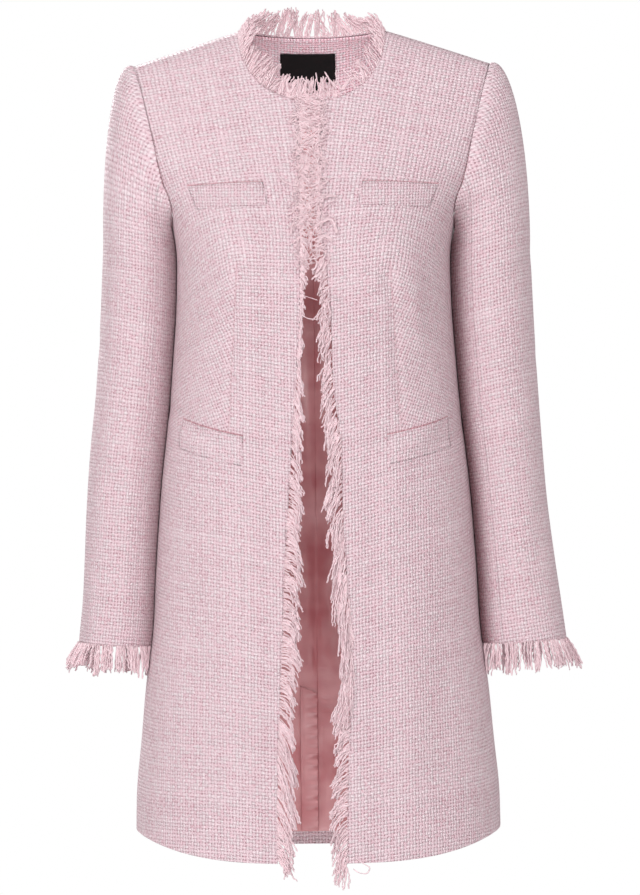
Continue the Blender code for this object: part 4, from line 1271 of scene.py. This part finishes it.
# Folds that hang off the lining, seen in the opening; both halves share those that cross the centre
liningFolds = {
    "left": (
        Crease((0.000, 0.535), (0.000, 0.650), 0.0070, -0.0070),
        Crease((0.007, 0.622), (0.026, 0.694), 0.0030, -0.0056),
        Crease((0.018, 0.590), (0.032, 0.660), 0.0060, -0.0060),
        Crease((0.000, 0.712), (0.018, 0.702), 0.0018, -0.0018),
        Crease((0.002, 0.704), (0.018, 0.690), 0.0018, -0.0015),
        Crease((0.003, 0.694), (0.014, 0.678), 0.0016, -0.0012),
        Crease((0.017, 0.735), (0.013, 0.850), 0.0050, -0.0034),
        Crease((0.006, 0.800), (0.010, 0.860), 0.0030, -0.0018),
        Crease((0.010, 0.330), (0.014, 0.480), 0.0090, -0.0040),
        Crease((0.060, 0.500), (0.050, 0.800), 0.0120, -0.0040),
    ),
    "right": (
        Crease((0.000, 0.535), (0.000, 0.650), 0.0070, -0.0070),
        Crease((0.012, 0.640), (0.005, 0.690), 0.0024, -0.0034),
        Crease((0.016, 0.560), (0.022, 0.650), 0.0050, -0.0058),
        Crease((0.022, 0.690), (0.024, 0.850), 0.0050, -0.0030),
        Crease((0.012, 0.340), (0.006, 0.500), 0.0080, -0.0036),
        Crease((0.064, 0.480), (0.052, 0.820), 0.0130, -0.0040),
    ),
}


def makeLining(side):
    levels = levelSteps(facing["level"] - lining["startAbove"], lining["endDrop"], lining["spacing"])
    levels = levels[levels >= facing["level"]]
    outerAngle = math.pi - armholeAngle(levels, "back")
    angle, level = spacedColumns(np.full(len(levels), math.pi), outerAngle, levels, counts["lining"])
    piece = bodySheet("backLining" + side.capitalize(), angle, level,
                      cloth["tweedThickness"] + lining["layer"], cloth["liningThickness"], side,
                      backCreases[side], roll=False, folds=liningFolds[side])
    return dress(piece, liningSatin, "lining", "back_lining_" + side)


def makeVentFacing():
    rows, columns = counts["vent"]
    aside = shares(columns)[None, :] ** vent["crowding"]
    across = cloth["seamGap"] + (vent["width"] - cloth["seamGap"]) * aside
    share = shares(rows)[:, None]
    top = vent["top"] + vent["slant"] * (1.0 - across / vent["width"])
    level = top + (lining["endDrop"] - top) * share
    across = across + np.zeros_like(level)
    depth = cloth["tweedThickness"] + lining["layer"] + cloth["liningThickness"] + vent["layer"]
    outer, normal = insideBack(across, level, depth)
    drop = -outer[..., 2]
    height = foldedHeight(backCreases["right"], liningFolds["right"], across, drop)
    # its sewn edge puckers between the stitches
    drawn = (1.0 - across / vent["width"]) ** 2
    beat = 1.0 + np.sin(level * (2.0 * math.pi / vent["pucker"])) + 0.5 * np.sin(level * vent["unevenBeat"])
    outer = outer + normal * (height - vent["puckerDepth"] * beat * drawn)[..., None]
    mirror = mirrors["right"]
    # its cloth is cut from another place than the lining's
    coords = np.stack((across + vent["cutFrom"], level), axis=-1)
    piece = clothPiece("ventFacing", outer * mirror, normal * mirror, cloth["liningThickness"], coords,
                       mirrored=True)
    return dress(piece, liningSatin, "lining", "vent_facing")


neckFacing = makeFacing()
neckLabel = makeTape("neckLabel", "neck_label", label["width"], label["top"], label["height"])
sizeTab = makeTape("sizeTab", "size_tab", tab["width"],
                   label["top"] + label["height"] + cloth["seamGap"], tab["height"])
linings = {side: makeLining(side) for side in sides}
ventFacing = makeVentFacing()
print("inside of the back")


# Pocket welts

# How far a welt stands off the front: at its mouth, at its sewn edge and towards both ends
weltLift = {"top": 0.0011, "bottom": 0.0004, "ends": 0.0004, "endsFrom": 0.30, "endsMiddle": 0.45,
            "endsReach": 0.15, "fall": 1.1, "clear": 0.0001}


def makeWelt(kind, side):
    size = welts[kind]
    rows, columns = counts["welt"]
    share = shares(columns)[None, :]
    angle = np.radians(size["from"] + (size["to"] - size["from"]) * share)
    down = shares(rows)[:, None]
    drop = size["drop"] - size["rise"] * share + size["height"] * down
    across = bodyPoint(angle, drop)[..., 0]
    level = levelAt(across, drop)
    angle = angle + np.zeros_like(level)
    lift = weltLift["top"] + (weltLift["bottom"] - weltLift["top"]) * ease(down * weltLift["fall"])
    toEnd = (np.abs(share - weltLift["endsMiddle"]) - weltLift["endsFrom"]) / weltLift["endsReach"]
    lift = lift + (weltLift["ends"] - lift) * ease(toEnd)
    piece = bodySheet(kind + "Welt" + side.capitalize(), angle, level, -lift[..., None],
                      (lift - weltLift["clear"])[..., None], side, frontForms[side], roll=False)
    return dress(piece, tweedCloth, "tweed", kind + "_welt_" + side)


weltPieces = {(kind, side): makeWelt(kind, side) for kind in welts for side in sides}
print("welts")


# Fringes: every one is a brush of single yarns, gathered in small bundles, crimped from the weave

strand = {"radius": 0.00080, "radiusVary": 0.28, "steps": 16, "wobble": 0.0010, "gather": 0.42,
          "crimp": 0.00042, "crimpLength": 0.0074, "crimpVary": (0.3, 1.5), "beatVary": (0.8, 1.25),
          "turns": (2.2, 4.6), "lumps": ((0.16, 11.0), (0.08, 23.0)), "tip": 0.72, "layer": (-1.0, 0.45),
          "layerDepth": 0.0018, "crimpFrom": 5.0,
          "apart": (0.0137, 0.0012)}        # of two yarns and of two sides of one, as the finish reads it

# How unruly the yarns of a bundle are: a pair gives what all have and what the tangle adds
unruly = {"warp": 0.35, "warpBeat": 0.9, "startFan": 0.8, "startLean": (0.08, 0.55),
          "endLean": (0.05, 0.60), "bundleLength": 0.15, "ownLength": 0.07, "out": (0.05, 0.22),
          "bundleOut": 0.10, "rise": 0.12, "fall": 0.06, "rootPower": 1.6, "wobble": (0.6, 2.4),
          "pullPower": 1.5, "freed": 0.8}


def tubes(name, paths, radii):
    # one closed four-sided tube along every path, blunt at its tip
    count, stations = paths.shape[:2]
    ways = unit(np.gradient(paths, axis=1))
    aside = unit(np.cross(ways, np.array((0.31, 0.87, 0.38))))
    over = np.cross(aside, ways)
    turns = 0.5 * math.pi * np.arange(4)
    ring = (aside[:, :, None] * np.cos(turns)[:, None] + over[:, :, None] * np.sin(turns)[:, None])
    points = paths[:, :, None] + ring * radii[:, :, None, None]
    walls = gridQuads(stations, 4, loop=True).reshape(-1, 4)
    last = (stations - 1) * 4
    caps = np.array(((0, 1, 2, 3), (last + 3, last + 2, last + 1, last)))
    quads = np.concatenate((walls[:, ::-1], caps))
    start = np.arange(count)[:, None, None] * stations * 4
    faces = (quads[None] + start).reshape(-1, 4)
    # the finish reads the place round each yarn and the length along it
    betweenYarns, betweenSides = strand["apart"]
    roundPlace = np.arange(count)[:, None, None] * betweenYarns + np.arange(4) * betweenSides
    coords = np.stack(np.broadcast_arrays(roundPlace, runLength(paths, axis=1)[:, :, None]), axis=-1)
    return newMesh(name, points.reshape(-1, 3), faces, coords.reshape(-1, 2)[faces])


def strandPaths(random, roots, firstWays, lastWays, lengths, wobble):
    # each yarn leaves along its first way, bends evenly to its last way, sways a little and is crimped
    part = np.linspace(0.0, 1.0, strand["steps"] + 1)[None, :, None]
    long = lengths[:, None, None]
    paths = (roots[:, None] + long * (firstWays[:, None] * (part - part ** 2 / 2.0)
                                      + lastWays[:, None] * part ** 2 / 2.0))
    phase = random.uniform(0.0, 2.0 * math.pi, (len(roots), 1, 3))
    turn = random.uniform(*strand["turns"], (len(roots), 1, 3))
    sway = (np.sin(phase + turn * part) - np.sin(phase)) * wobble[:, None, None] * part
    beat = 2.0 * math.pi * random.uniform(*strand["beatVary"], (len(roots), 1, 3)) / strand["crimpLength"]
    size = strand["crimp"] * random.uniform(*strand["crimpVary"], (len(roots), 1, 1))
    crimp = np.sin(phase * 3.0 + beat * long * part) * size * np.clip(part * strand["crimpFrom"], 0.0, 1.0)
    return paths + sway + crimp


def strandRadii(random, count, share=1.0):
    size = strand["radius"] * share * (1.0 + strand["radiusVary"] * random.uniform(-1.0, 1.0, (count, 1)))
    part = np.linspace(0.0, 1.0, strand["steps"] + 1)[None, :]
    phase = random.uniform(0.0, 6.0, (count, 1))
    (large, slow), (small, quick) = strand["lumps"]
    thick = 1.0 + large * np.sin(slow * part + phase) + small * np.sin(quick * part + 2.0 * phase)
    return size * thick * np.where(part > 0.99, strand["tip"], 1.0)


def bundleOf(random, places, pitch):
    # a bundle's number and its own random values for each yarn, from its place along the edge
    warped = places + unruly["warp"] * pitch * np.sin(places / pitch * unruly["warpBeat"] + 1.0)
    number = np.floor(warped / pitch + 1.0).astype(int)
    table = random.uniform(-1.0, 1.0, (number.max() + 2, 5))
    return number, table[number]


def bundleTips(number, tips):
    # the mean tip of every bundle, given back for each of its yarns
    total = np.zeros((number.max() + 1, 3))
    np.add.at(total, number, tips)
    members = np.bincount(number, minlength=len(total))[:, None]
    return (total / np.maximum(members, 1))[number]


def brush(random, edge, places, lengths, startLeans, endLeans, tangle, pitch, spread=0.0, out=0.0,
          fan=0.15, over=0.0):
    # yarns rooted along an edge, which turn from their start lean to their end lean; a lean is measured
    # from the edge's run towards its inward side
    base, inward, normal, along = edge
    number, own = bundleOf(random, places, pitch)
    count = len(base)
    scatter = random.normal(0.0, 1.0, (count, 5))

    def unruliness(name):
        least, more = unruly[name]
        return least + more * tangle

    endLeans = endLeans + own[:, 0] * fan + scatter[:, 0] * unruliness("endLean")
    startLeans = startLeans + own[:, 0] * unruly["startFan"] * fan + scatter[:, 1] * unruliness("startLean")
    lengths = lengths * (1.0 + unruly["bundleLength"] * own[:, 2] + unruly["ownLength"] * scatter[:, 2])
    outWay = out + own[:, 3] * unruly["bundleOut"] + scatter[:, 3] * unruliness("out")

    def wayOf(lean, outward):
        return unit(inward * np.sin(lean)[:, None] + along * np.cos(lean)[:, None]
                    + normal * outward[:, None])

    base = base + normal * (random.uniform(*strand["layer"], count) * strand["layerDepth"])[:, None]
    base = base + inward * (random.uniform(0.0, 1.0, count) ** unruly["rootPower"] * spread - over)[:, None]
    firstWays = wayOf(startLeans, outWay + unruly["rise"])
    lastWays = wayOf(endLeans, outWay - unruly["fall"])
    paths = strandPaths(random, base, firstWays, lastWays, lengths, strand["wobble"] * unruliness("wobble"))
    pull = strand["gather"] * np.clip(1.0 - unruly["freed"] * tangle, 0.0, 1.0)
    part = np.linspace(0.0, 1.0, paths.shape[1])[None, :, None]
    aim = bundleTips(number, paths[:, -1])
    return paths + (aim - paths[:, -1])[:, None] * pull[:, None, None] * part ** unruly["pullPower"]


def clumping(places, fringe):
    # how much of a brush is kept at each place, least between two bundles
    between, within = fringe["clumps"]
    return between + within * (0.5 + 0.5 * np.sin(places / fringe["bundle"] * 2.0 * math.pi))


def alongEdge(random, points, count):
    # places along a line of points, in metres and as rows
    travelled = runLength(points)
    places = np.sort(random.uniform(0.0, travelled[-1], count))
    return places, np.interp(places, travelled, np.arange(len(points)))


def readRows(values, row):
    low = np.clip(row.astype(int), 0, len(values) - 2)
    part = (row - low).reshape((-1,) + (1,) * (values.ndim - 1))
    return values[low] * (1.0 - part) + values[low + 1] * part


def strayPaths(random, rows):
    # yarns laid one by one over the front's form: how many, how far apart, and their places as
    # (across, drop, lift)
    paths = []
    for copies, apart, places in rows:
        line = SizeTable(("part", "across", "drop", "lift"),
                         [(index, *place) for index, place in enumerate(places)])
        part = np.linspace(0.0, len(places) - 1.0, strand["steps"] + 1)
        for _ in range(copies):
            shift = random.normal(0.0, apart, (2, len(places)))
            across = line.at("across", part) + np.interp(part, np.arange(len(places)), shift[0])
            drop = line.at("drop", part) + np.interp(part, np.arange(len(places)), shift[1])
            level = levelAt(np.abs(across), drop)
            angle = np.sign(across) * angleAt(np.abs(across), level)
            paths.append(bodyPoint(angle, level) - pointsOf(0.0, line.at("lift", part), 0.0))
    return np.array(paths)


# Loose yarns, tufts and loops, all placed as seen
strays = {
    "neck": (
        (1, 0.0, ((0.0052, 0.0700, 0.001), (-0.0030, 0.0620, 0.004), (-0.0106, 0.0546, 0.006))),
        (1, 0.0, ((0.0084, 0.0720, 0.001), (0.0060, 0.0600, 0.004), (0.0042, 0.0493, 0.005))),
        (2, 0.0009, ((0.0260, 0.0660, 0.001), (0.0190, 0.0570, 0.004), (0.0136, 0.0493, 0.006))),
        (4, 0.0014, ((0.0300, 0.0680, 0.001), (0.0390, 0.0580, 0.003), (0.0470, 0.0545, 0.002))),
        (5, 0.0010, ((0.0540, 0.0560, 0.001), (0.0520, 0.0450, 0.003), (0.0480, 0.0360, 0.004))),
        (2, 0.0010, ((0.0600, 0.0480, 0.001), (0.0540, 0.0440, 0.003), (0.0450, 0.0430, 0.003))),
        (3, 0.0012, ((-0.0240, 0.0740, 0.001), (-0.0260, 0.0620, 0.004), (-0.0230, 0.0530, 0.005))),
    ),
    "right": (
        (1, 0.0, ((-0.0150, 0.1715, 0.003), (-0.0240, 0.1700, 0.004), (-0.0330, 0.1640, 0.003),
                  (-0.0379, 0.1540, 0.002))),
        (3, 0.0009, ((-0.0160, 0.2080, 0.002), (-0.0210, 0.2140, 0.003), (-0.0240, 0.2220, 0.002))),
        (1, 0.0, ((-0.0140, 0.2860, 0.001), (-0.0050, 0.2890, 0.003), (0.0040, 0.2920, 0.002))),
        (1, 0.0, ((-0.0150, 0.3060, 0.001), (-0.0060, 0.3110, 0.003), (0.0050, 0.3120, 0.002))),
    ),
    "left": (
        (6, 0.0016, ((0.0040, 0.2160, 0.001), (0.0120, 0.2080, 0.004), (0.0210, 0.2090, 0.004),
                     (0.0250, 0.2230, 0.002))),
        (5, 0.0014, ((0.0040, 0.1880, 0.001), (0.0120, 0.1810, 0.003), (0.0250, 0.1840, 0.002))),
        (5, 0.0014, ((0.0030, 0.2360, 0.001), (0.0110, 0.2250, 0.003), (0.0200, 0.2300, 0.002))),
        (2, 0.0008, ((0.0020, 0.1320, 0.002), (0.0060, 0.1250, 0.003), (0.0120, 0.1240, 0.002))),
        (1, 0.0, ((0.0370, 0.8730, 0.002), (0.0470, 0.8800, 0.004), (0.0530, 0.8840, 0.004),
                  (0.0500, 0.8900, 0.004), (0.0420, 0.8890, 0.004), (0.0360, 0.8850, 0.003))),
    ),
}


def flattened(paths, base, normal, share):
    # the paths brought closer to the cloth that they lie on
    lift = ((paths - base[:, None]) * normal[:, None]).sum(axis=-1, keepdims=True)
    return paths - normal[:, None] * lift * share


frontFringe = {
    "count": 860,
    "bundle": 0.0082,
    "over": 0.0013,             # how far the yarns start inside the cloth's edge
    "edgeRows": 500,
    "ends": (0.004, 0.001),     # where it starts below the neck and stops above the hem
    "reach": 1.02,              # the most that a yarn reaches, as a share of the fringe's width
    "closed": {"from": 0.22, "fade": 0.07, "flat": 0.40, "lift": 0.0010},       # where the edges meet
    # short loose yarns over the closed part, lying every way
    "fuzz": {"count": 430, "length": 0.172, "over": 0.0045, "spread": 0.0180, "radius": 0.70,
             "lengths": (0.006, 0.015), "endLean": 2.6, "tangle": 0.8, "bundle": 0.006, "out": 0.02,
             "lift": 0.0014, "flat": 0.75, "crowding": (1.0, 1.25)},
    "hole": {"drop": 0.2175, "half": 0.0085, "share": 0.55},      # where the yarns leave a gap
    "columns": ("drop", "length", "start", "end", "tangle", "spread"),      # leans in degrees from down
    "right": (
        (0.083, 0.0170, 80.0, 54.0, 0.80, 0.16),
        (0.200, 0.0160, 74.0, 40.0, 0.80, 0.16),
        (0.240, 0.0130, 56.0, 20.0, 0.40, 0.10),
        (0.270, 0.0120, 40.0, 6.0, 0.22, 0.20),
        (0.430, 0.0220, 42.0, 6.0, 0.16, 0.30),
        (0.520, 0.0270, 74.0, 10.0, 0.20, 0.15),
        (0.660, 0.0290, 84.0, 10.0, 0.20, 0.08),
        (0.705, 0.0290, 80.0, 20.0, 0.16, 0.04),
        (0.740, 0.0430, 46.0, 12.0, 0.08, 0.05),
        (0.830, 0.0430, 44.0, 12.0, 0.08, 0.05),
        (0.865, 0.0300, 52.0, 10.0, 0.30, 0.10),
        (0.880, 0.0240, 40.0, 6.0, 0.35, 0.20),
    ),
    "left": (
        (0.083, 0.0170, 80.0, 54.0, 0.80, 0.16),
        (0.200, 0.0170, 74.0, 40.0, 0.80, 0.16),
        (0.240, 0.0170, 56.0, 26.0, 0.45, 0.10),
        (0.280, 0.0190, 44.0, 8.0, 0.40, 0.35),
        (0.430, 0.0280, 42.0, 6.0, 0.24, 0.45),
        (0.520, 0.0330, 30.0, 4.0, 0.18, 0.55),
        (0.690, 0.0360, 22.0, 3.0, 0.14, 0.60),
        (0.740, 0.0320, 50.0, 14.0, 0.18, 0.20),
        (0.835, 0.0310, 54.0, 14.0, 0.20, 0.20),
        (0.865, 0.0320, 40.0, 6.0, 0.28, 0.25),
        (0.880, 0.0300, 24.0, 4.0, 0.30, 0.35),
    ),
}


def makeFrontFringe(side):
    random = np.random.default_rng({"right": 41, "left": 42}[side])
    table = SizeTable(frontFringe["columns"], frontFringe[side])
    belowNeck, aboveHem = frontFringe["ends"]
    top = neck["depth"] + belowNeck
    level = np.linspace(top, body["hemLevel"] - aboveHem, frontFringe["edgeRows"])
    angle = angleAt(frontEdge.at(side, level), level)
    base = bodyPoint(angle, level)
    normal = bodyNormal(angle, level)
    down = unit(np.gradient(base, axis=0))
    inward = np.cross(normal, down)
    inward = inward * np.sign(-inward[:, :1])

    def edgeAt(row):
        return tuple(readRows(values, row) for values in (base, inward, normal, down))

    places, row = alongEdge(random, base, frontFringe["count"])
    drop = readRows(level, row)
    width = frontEdge.at(side + "Fringe", drop)
    start = np.radians(table.at("start", drop))
    end = np.radians(table.at("end", drop))
    spread = table.at("spread", drop) * width
    # the lengths are those of the table, but no yarn reaches far over the fringe's own width
    reach = (np.sin(start) + np.sin(end)) / 2.0
    limit = frontFringe["reach"] * (width - 0.5 * spread) / np.maximum(reach, 0.1)
    length = np.minimum(table.at("length", drop), limit)
    hole = frontFringe["hole"]
    length = length * (1.0 - hole["share"] * np.exp(-((drop - hole["drop"]) / hole["half"]) ** 2))
    paths = brush(random, edgeAt(row), places, length, start, end, table.at("tangle", drop),
                  frontFringe["bundle"], spread, over=frontFringe["over"])
    size = frontFringe["closed"]
    closed = 1.0 - ease((drop - size["from"]) / size["fade"])
    edgeBase, _, edgeNormal, _ = edgeAt(row)
    paths = flattened(paths, edgeBase, edgeNormal, size["flat"] * closed[:, None, None])
    paths = paths + edgeNormal[:, None] * (size["lift"] * closed)[:, None, None]
    radii = strandRadii(random, len(places))

    fuzz = frontFringe["fuzz"]
    count = fuzz["count"]
    fuzzPlaces = np.sort(random.beta(*fuzz["crowding"], count)) * fuzz["length"]
    fuzzRow = np.interp(top + fuzzPlaces, level, np.arange(len(level)))
    fuzzBase, fuzzInward, fuzzNormal, fuzzDown = edgeAt(fuzzRow)
    fuzzBase = fuzzBase - fuzzInward * fuzz["over"] + fuzzNormal * fuzz["lift"]
    fuzzPaths = brush(random, (fuzzBase, fuzzInward, fuzzNormal, fuzzDown), fuzzPlaces,
                      random.uniform(*fuzz["lengths"], count), random.uniform(-math.pi, math.pi, count),
                      random.uniform(-fuzz["endLean"], fuzz["endLean"], count),
                      np.full(count, fuzz["tangle"]), fuzz["bundle"], fuzz["spread"], fuzz["out"])
    fuzzPaths = flattened(fuzzPaths, fuzzBase, fuzzNormal, fuzz["flat"])
    loose = strayPaths(random, strays[side])
    paths = np.concatenate((np.concatenate((paths, fuzzPaths)) * mirrors[side], loose))
    radii = np.concatenate((radii, strandRadii(random, count, fuzz["radius"]),
                            strandRadii(random, len(loose), fuzz["radius"])))
    piece = tubes("frontFringe" + side.capitalize(), paths, radii)
    return dress(piece, yarn, "fringe", "front_fringe_" + side)


# Round the neck, part 0 to 1 is the wearer's left front, 1 to 2 the back and 2 to 3 the right front
neckFringe = {
    "count": 1500,              # before the thinning that density does
    "bundle": 0.0110,
    "fan": 0.34,
    "radius": 0.92,
    "clumps": (0.35, 1.1),      # how full the brush is between bundles, and how much more inside one
    "samples": {"front": 160, "back": 240},
    "ends": (0.002, 0.0004),    # from the centre front, and from the shoulder
    # each yarn points away from a place this many times as far out, and this much lower
    "awayFrom": (1.6, 1.6, 1.0),
    "awayBelow": 0.05,
    "columns": ("part", "density", "length", "lean", "lift", "tangle"),
    "rows": (
        (0.00, 0.50, 0.0250, 14.0, 0.60, 0.30),
        (0.14, 0.34, 0.0250, 0.0, 0.30, 0.40),
        (0.32, 0.18, 0.0240, -24.0, -0.10, 0.55),
        (0.60, 0.16, 0.0230, -14.0, -0.20, 0.55),
        (0.90, 0.22, 0.0230, 0.0, 0.30, 0.45),
        (1.10, 0.34, 0.0250, 14.0, 0.90, 0.30),
        (1.50, 0.34, 0.0290, 2.0, 1.00, 0.22),
        (1.90, 0.36, 0.0270, -10.0, 0.90, 0.26),
        (2.15, 0.52, 0.0270, 0.0, 0.00, 0.18),
        (2.50, 0.56, 0.0290, 0.0, -0.32, 0.12),
        (2.75, 0.50, 0.0270, 0.0, -0.10, 0.18),
        (3.00, 0.46, 0.0240, 8.0, 0.40, 0.30),
    ),
}


def makeNeckFringe():
    random = np.random.default_rng(43)
    table = SizeTable(neckFringe["columns"], neckFringe["rows"])
    samples = neckFringe["samples"]
    atCentre, atShoulder = neckFringe["ends"]
    frontAcross = np.linspace(atCentre, neck["halfWidth"] - atShoulder, samples["front"])
    backAcross = neck["halfWidth"] * np.sin(np.linspace(math.pi / 2.0, -math.pi / 2.0, samples["back"]))
    lines = []
    for across, sign, isFront in ((frontAcross, 1.0, True), (backAcross, 1.0, False),
                                  (frontAcross[::-1], -1.0, True)):
        if isFront:
            level = frontNeckline(across)
            angle = sign * angleAt(across, level)
        else:
            level = backNeckline(np.abs(across))
            angle = angleInBack(across, level)
        lines.append((bodyPoint(angle, level), bodyNormal(angle, level)))
    base = np.concatenate([line[0] for line in lines])
    normal = np.concatenate([line[1] for line in lines])
    below = np.array((0.0, 0.0, neckFringe["awayBelow"]))
    away = base - (base * np.array(neckFringe["awayFrom"]) - below)
    away = unit(away - normal * (away * normal).sum(axis=-1, keepdims=True))
    parts = np.concatenate([np.linspace(first, first + 1.0, samples[name])
                            for first, name in ((0.0, "front"), (1.0, "back"), (2.0, "front"))])
    places, row = alongEdge(random, base, neckFringe["count"])
    part = readRows(parts, row)
    density = table.at("density", part) * clumping(places, neckFringe)
    kept = random.uniform(0.0, 1.0, len(places)) < density
    places, row, part = places[kept], row[kept], part[kept]
    way = unit(readRows(away, row) + np.array((0.0, 0.0, 1.0)) * table.at("lift", part)[:, None])
    tangent = unit(readRows(np.gradient(base, axis=0), row))
    edge = (readRows(base, row), way, unit(readRows(normal, row)), tangent)
    lean = np.radians(90.0 - table.at("lean", part))
    paths = brush(random, edge, places, table.at("length", part), lean, lean, table.at("tangle", part),
                  neckFringe["bundle"], fan=neckFringe["fan"])
    paths = np.concatenate((paths, strayPaths(random, strays["neck"])))
    piece = tubes("neckFringe", paths, strandRadii(random, len(paths), neckFringe["radius"]))
    return dress(piece, yarn, "fringe", "neck_fringe")


cuffFringe = {"count": 330, "length": 0.0310, "flare": 0.0140, "flarePower": 1.5, "clear": 0.0020,
              "tangle": 0.14, "bundle": 0.0090, "tuck": 0.0015, "clumps": (0.35, 0.75)}


def makeCuffFringe(side):
    random = np.random.default_rng({"right": 44, "left": 45}[side])
    turn = np.sort(random.uniform(0.0, 2.0 * math.pi, cuffFringe["count"]))
    density = clumping(turn * sleeve["radius"], cuffFringe)
    turn = turn[random.uniform(0.0, 1.0, len(turn)) < density]
    place = np.full(len(turn), 2.0)
    base = sleevePoint(turn, place, side)
    normal = sleeveNormal(turn, place, side)
    outside = (1.0 + np.cos(turn)) / 2.0
    flare = cuffFringe["flare"] / cuffFringe["length"] * outside ** cuffFringe["flarePower"]
    down = unit(normal * flare[:, None] - np.array((0.0, 0.0, 1.0)))
    edge = (base + np.array((0.0, 0.0, cuffFringe["tuck"])), unit(np.cross(normal, down)), normal, down)
    flat = np.zeros(len(turn))
    paths = brush(random, edge, turn * sleeve["radius"], flat + cuffFringe["length"], flat, flat,
                  flat + cuffFringe["tangle"], cuffFringe["bundle"])
    limit = bodyHalfWidth(paths[..., 1], -paths[..., 2]) + cuffFringe["clear"]
    paths[..., 0] = np.maximum(paths[..., 0], limit)
    piece = tubes("cuffFringe" + side.capitalize(), paths * mirrors[side],
                  strandRadii(random, len(turn)))
    return dress(piece, yarn, "fringe", "cuff_fringe_" + side)


frontFringes = {side: makeFrontFringe(side) for side in sides}
cuffFringes = {side: makeCuffFringe(side) for side in sides}
neckYarns = makeNeckFringe()
print("fringes")


# The flat size of each sheet of cloth, measured from its cloth coordinates and not kept

for side in sides:
    declareSheet(fronts[side])
    declareSheet(backs[side])
    declareSheet(sleeves["upper", side])
    declareSheet(sleeves["under", side])
    declareSheet(linings[side])
    for kind in welts:
        declareSheet(weltPieces[kind, side])
declareSheet(neckFacing)
declareSheet(neckLabel)
declareSheet(sizeTab)
declareSheet(ventFacing)


# Studio

studio = {
    "backdrop": (1.0, 1.0, 1.0),
    "floor": (0.90, 0.89, 0.89),
    "floorHeight": -2.15,
    "floorSize": 16.0,
    "backdropSize": 14.0,
    "backdropAt": 12.5,
    "aim": (0.0, 0.0, -0.42),       # where the lights point that name no place of their own
    "world": (1.0, 0.915, 0.930),
    "worldStrength": 0.37,
    "lights": {
        "key": {"at": (-2.7, -4.1, 1.5), "size": 1.9, "power": 88.0},
        "fill": {"at": (0.3, -6.7, 1.0), "size": 2.4, "power": 180.0},
        "top": {"at": (0.0, -1.5, 2.3), "size": 1.6, "power": 16.0},
        "rim": {"at": (3.6, 3.2, 0.8), "size": 2.0, "power": 30.0},
        "back": {"at": (-1.6, 4.6, 1.5), "size": 2.4, "power": 190.0},
        "insideNeck": {"at": (0.0, -0.035, -0.175), "to": (0.0, 0.075, -0.050), "size": 0.1, "power": 0.12},
        "insideBack": {"at": (0.0, -0.040, -0.380), "to": (0.0, 0.100, -0.390), "size": 0.1, "power": 0.03},
    },
}
cameraSize = {"at": (0.00517, -5.2, -0.4457), "lens": 195.487, "sensor": 36.0, "roll": 0.0088,
              "farthest": 40.0}


def plainPlane(name, size, at, turned, material):
    half = size / 2.0
    points = np.array(((-half, -half, 0.0), (half, -half, 0.0), (half, half, 0.0), (-half, half, 0.0)))
    plane = newMesh(name, points, np.array(((0, 1, 2, 3),)))
    plane.location = at
    plane.rotation_euler = turned
    plane.data.materials.append(material)
    return plane


def glowFinish(name, colour):
    finish = Finish(name)
    glow = finish.node("ShaderNodeEmission", None, {"Color": (*colour, 1.0), "Strength": 1.0})
    finish.node("ShaderNodeOutputMaterial", None, {"Surface": glow})
    return finish.material


backdrop = plainPlane("backdrop", studio["backdropSize"], (0.0, studio["backdropAt"], 0.0),
                      (math.pi / 2.0, 0.0, 0.0), glowFinish("paperBackdrop", studio["backdrop"]))
backdrop.visible_diffuse = False
backdrop.visible_glossy = False
plainPlane("floor", studio["floorSize"], (0.0, 0.0, studio["floorHeight"]), (0.0, 0.0, 0.0),
           Finish("paleFloor").finished(baseColor=(*studio["floor"], 1.0), roughness=0.9, specular=0.1))

world = bpy.data.worlds.new("softWorld")
bpy.context.scene.world = world
world.use_nodes = True
world.node_tree.nodes["Background"].inputs["Color"].default_value = (*studio["world"], 1.0)
world.node_tree.nodes["Background"].inputs["Strength"].default_value = studio["worldStrength"]

for name, size in studio["lights"].items():
    lamp = bpy.data.lights.new(name, "AREA")
    lamp.shape = "SQUARE"
    lamp.size = size["size"]
    lamp.energy = size["power"]
    lampObject = bpy.data.objects.new(name, lamp)
    lampObject.location = size["at"]
    lampObject.visible_camera = False
    toTarget = Vector(size.get("to", studio["aim"])) - Vector(size["at"])
    lampObject.rotation_euler = toTarget.to_track_quat("-Z", "Y").to_euler()
    bpy.context.scene.collection.objects.link(lampObject)

camera = bpy.data.cameras.new("camera")
camera.lens = cameraSize["lens"]
camera.sensor_fit = "AUTO"
camera.sensor_width = cameraSize["sensor"]
camera.clip_end = cameraSize["farthest"]
cameraObject = bpy.data.objects.new("camera", camera)
cameraObject.location = cameraSize["at"]
cameraObject.rotation_euler = (math.pi / 2.0, cameraSize["roll"], 0.0)
bpy.context.scene.collection.objects.link(cameraObject)
bpy.context.scene.camera = cameraObject
bpy.context.scene.view_settings.view_transform = "Standard"
print("studio")
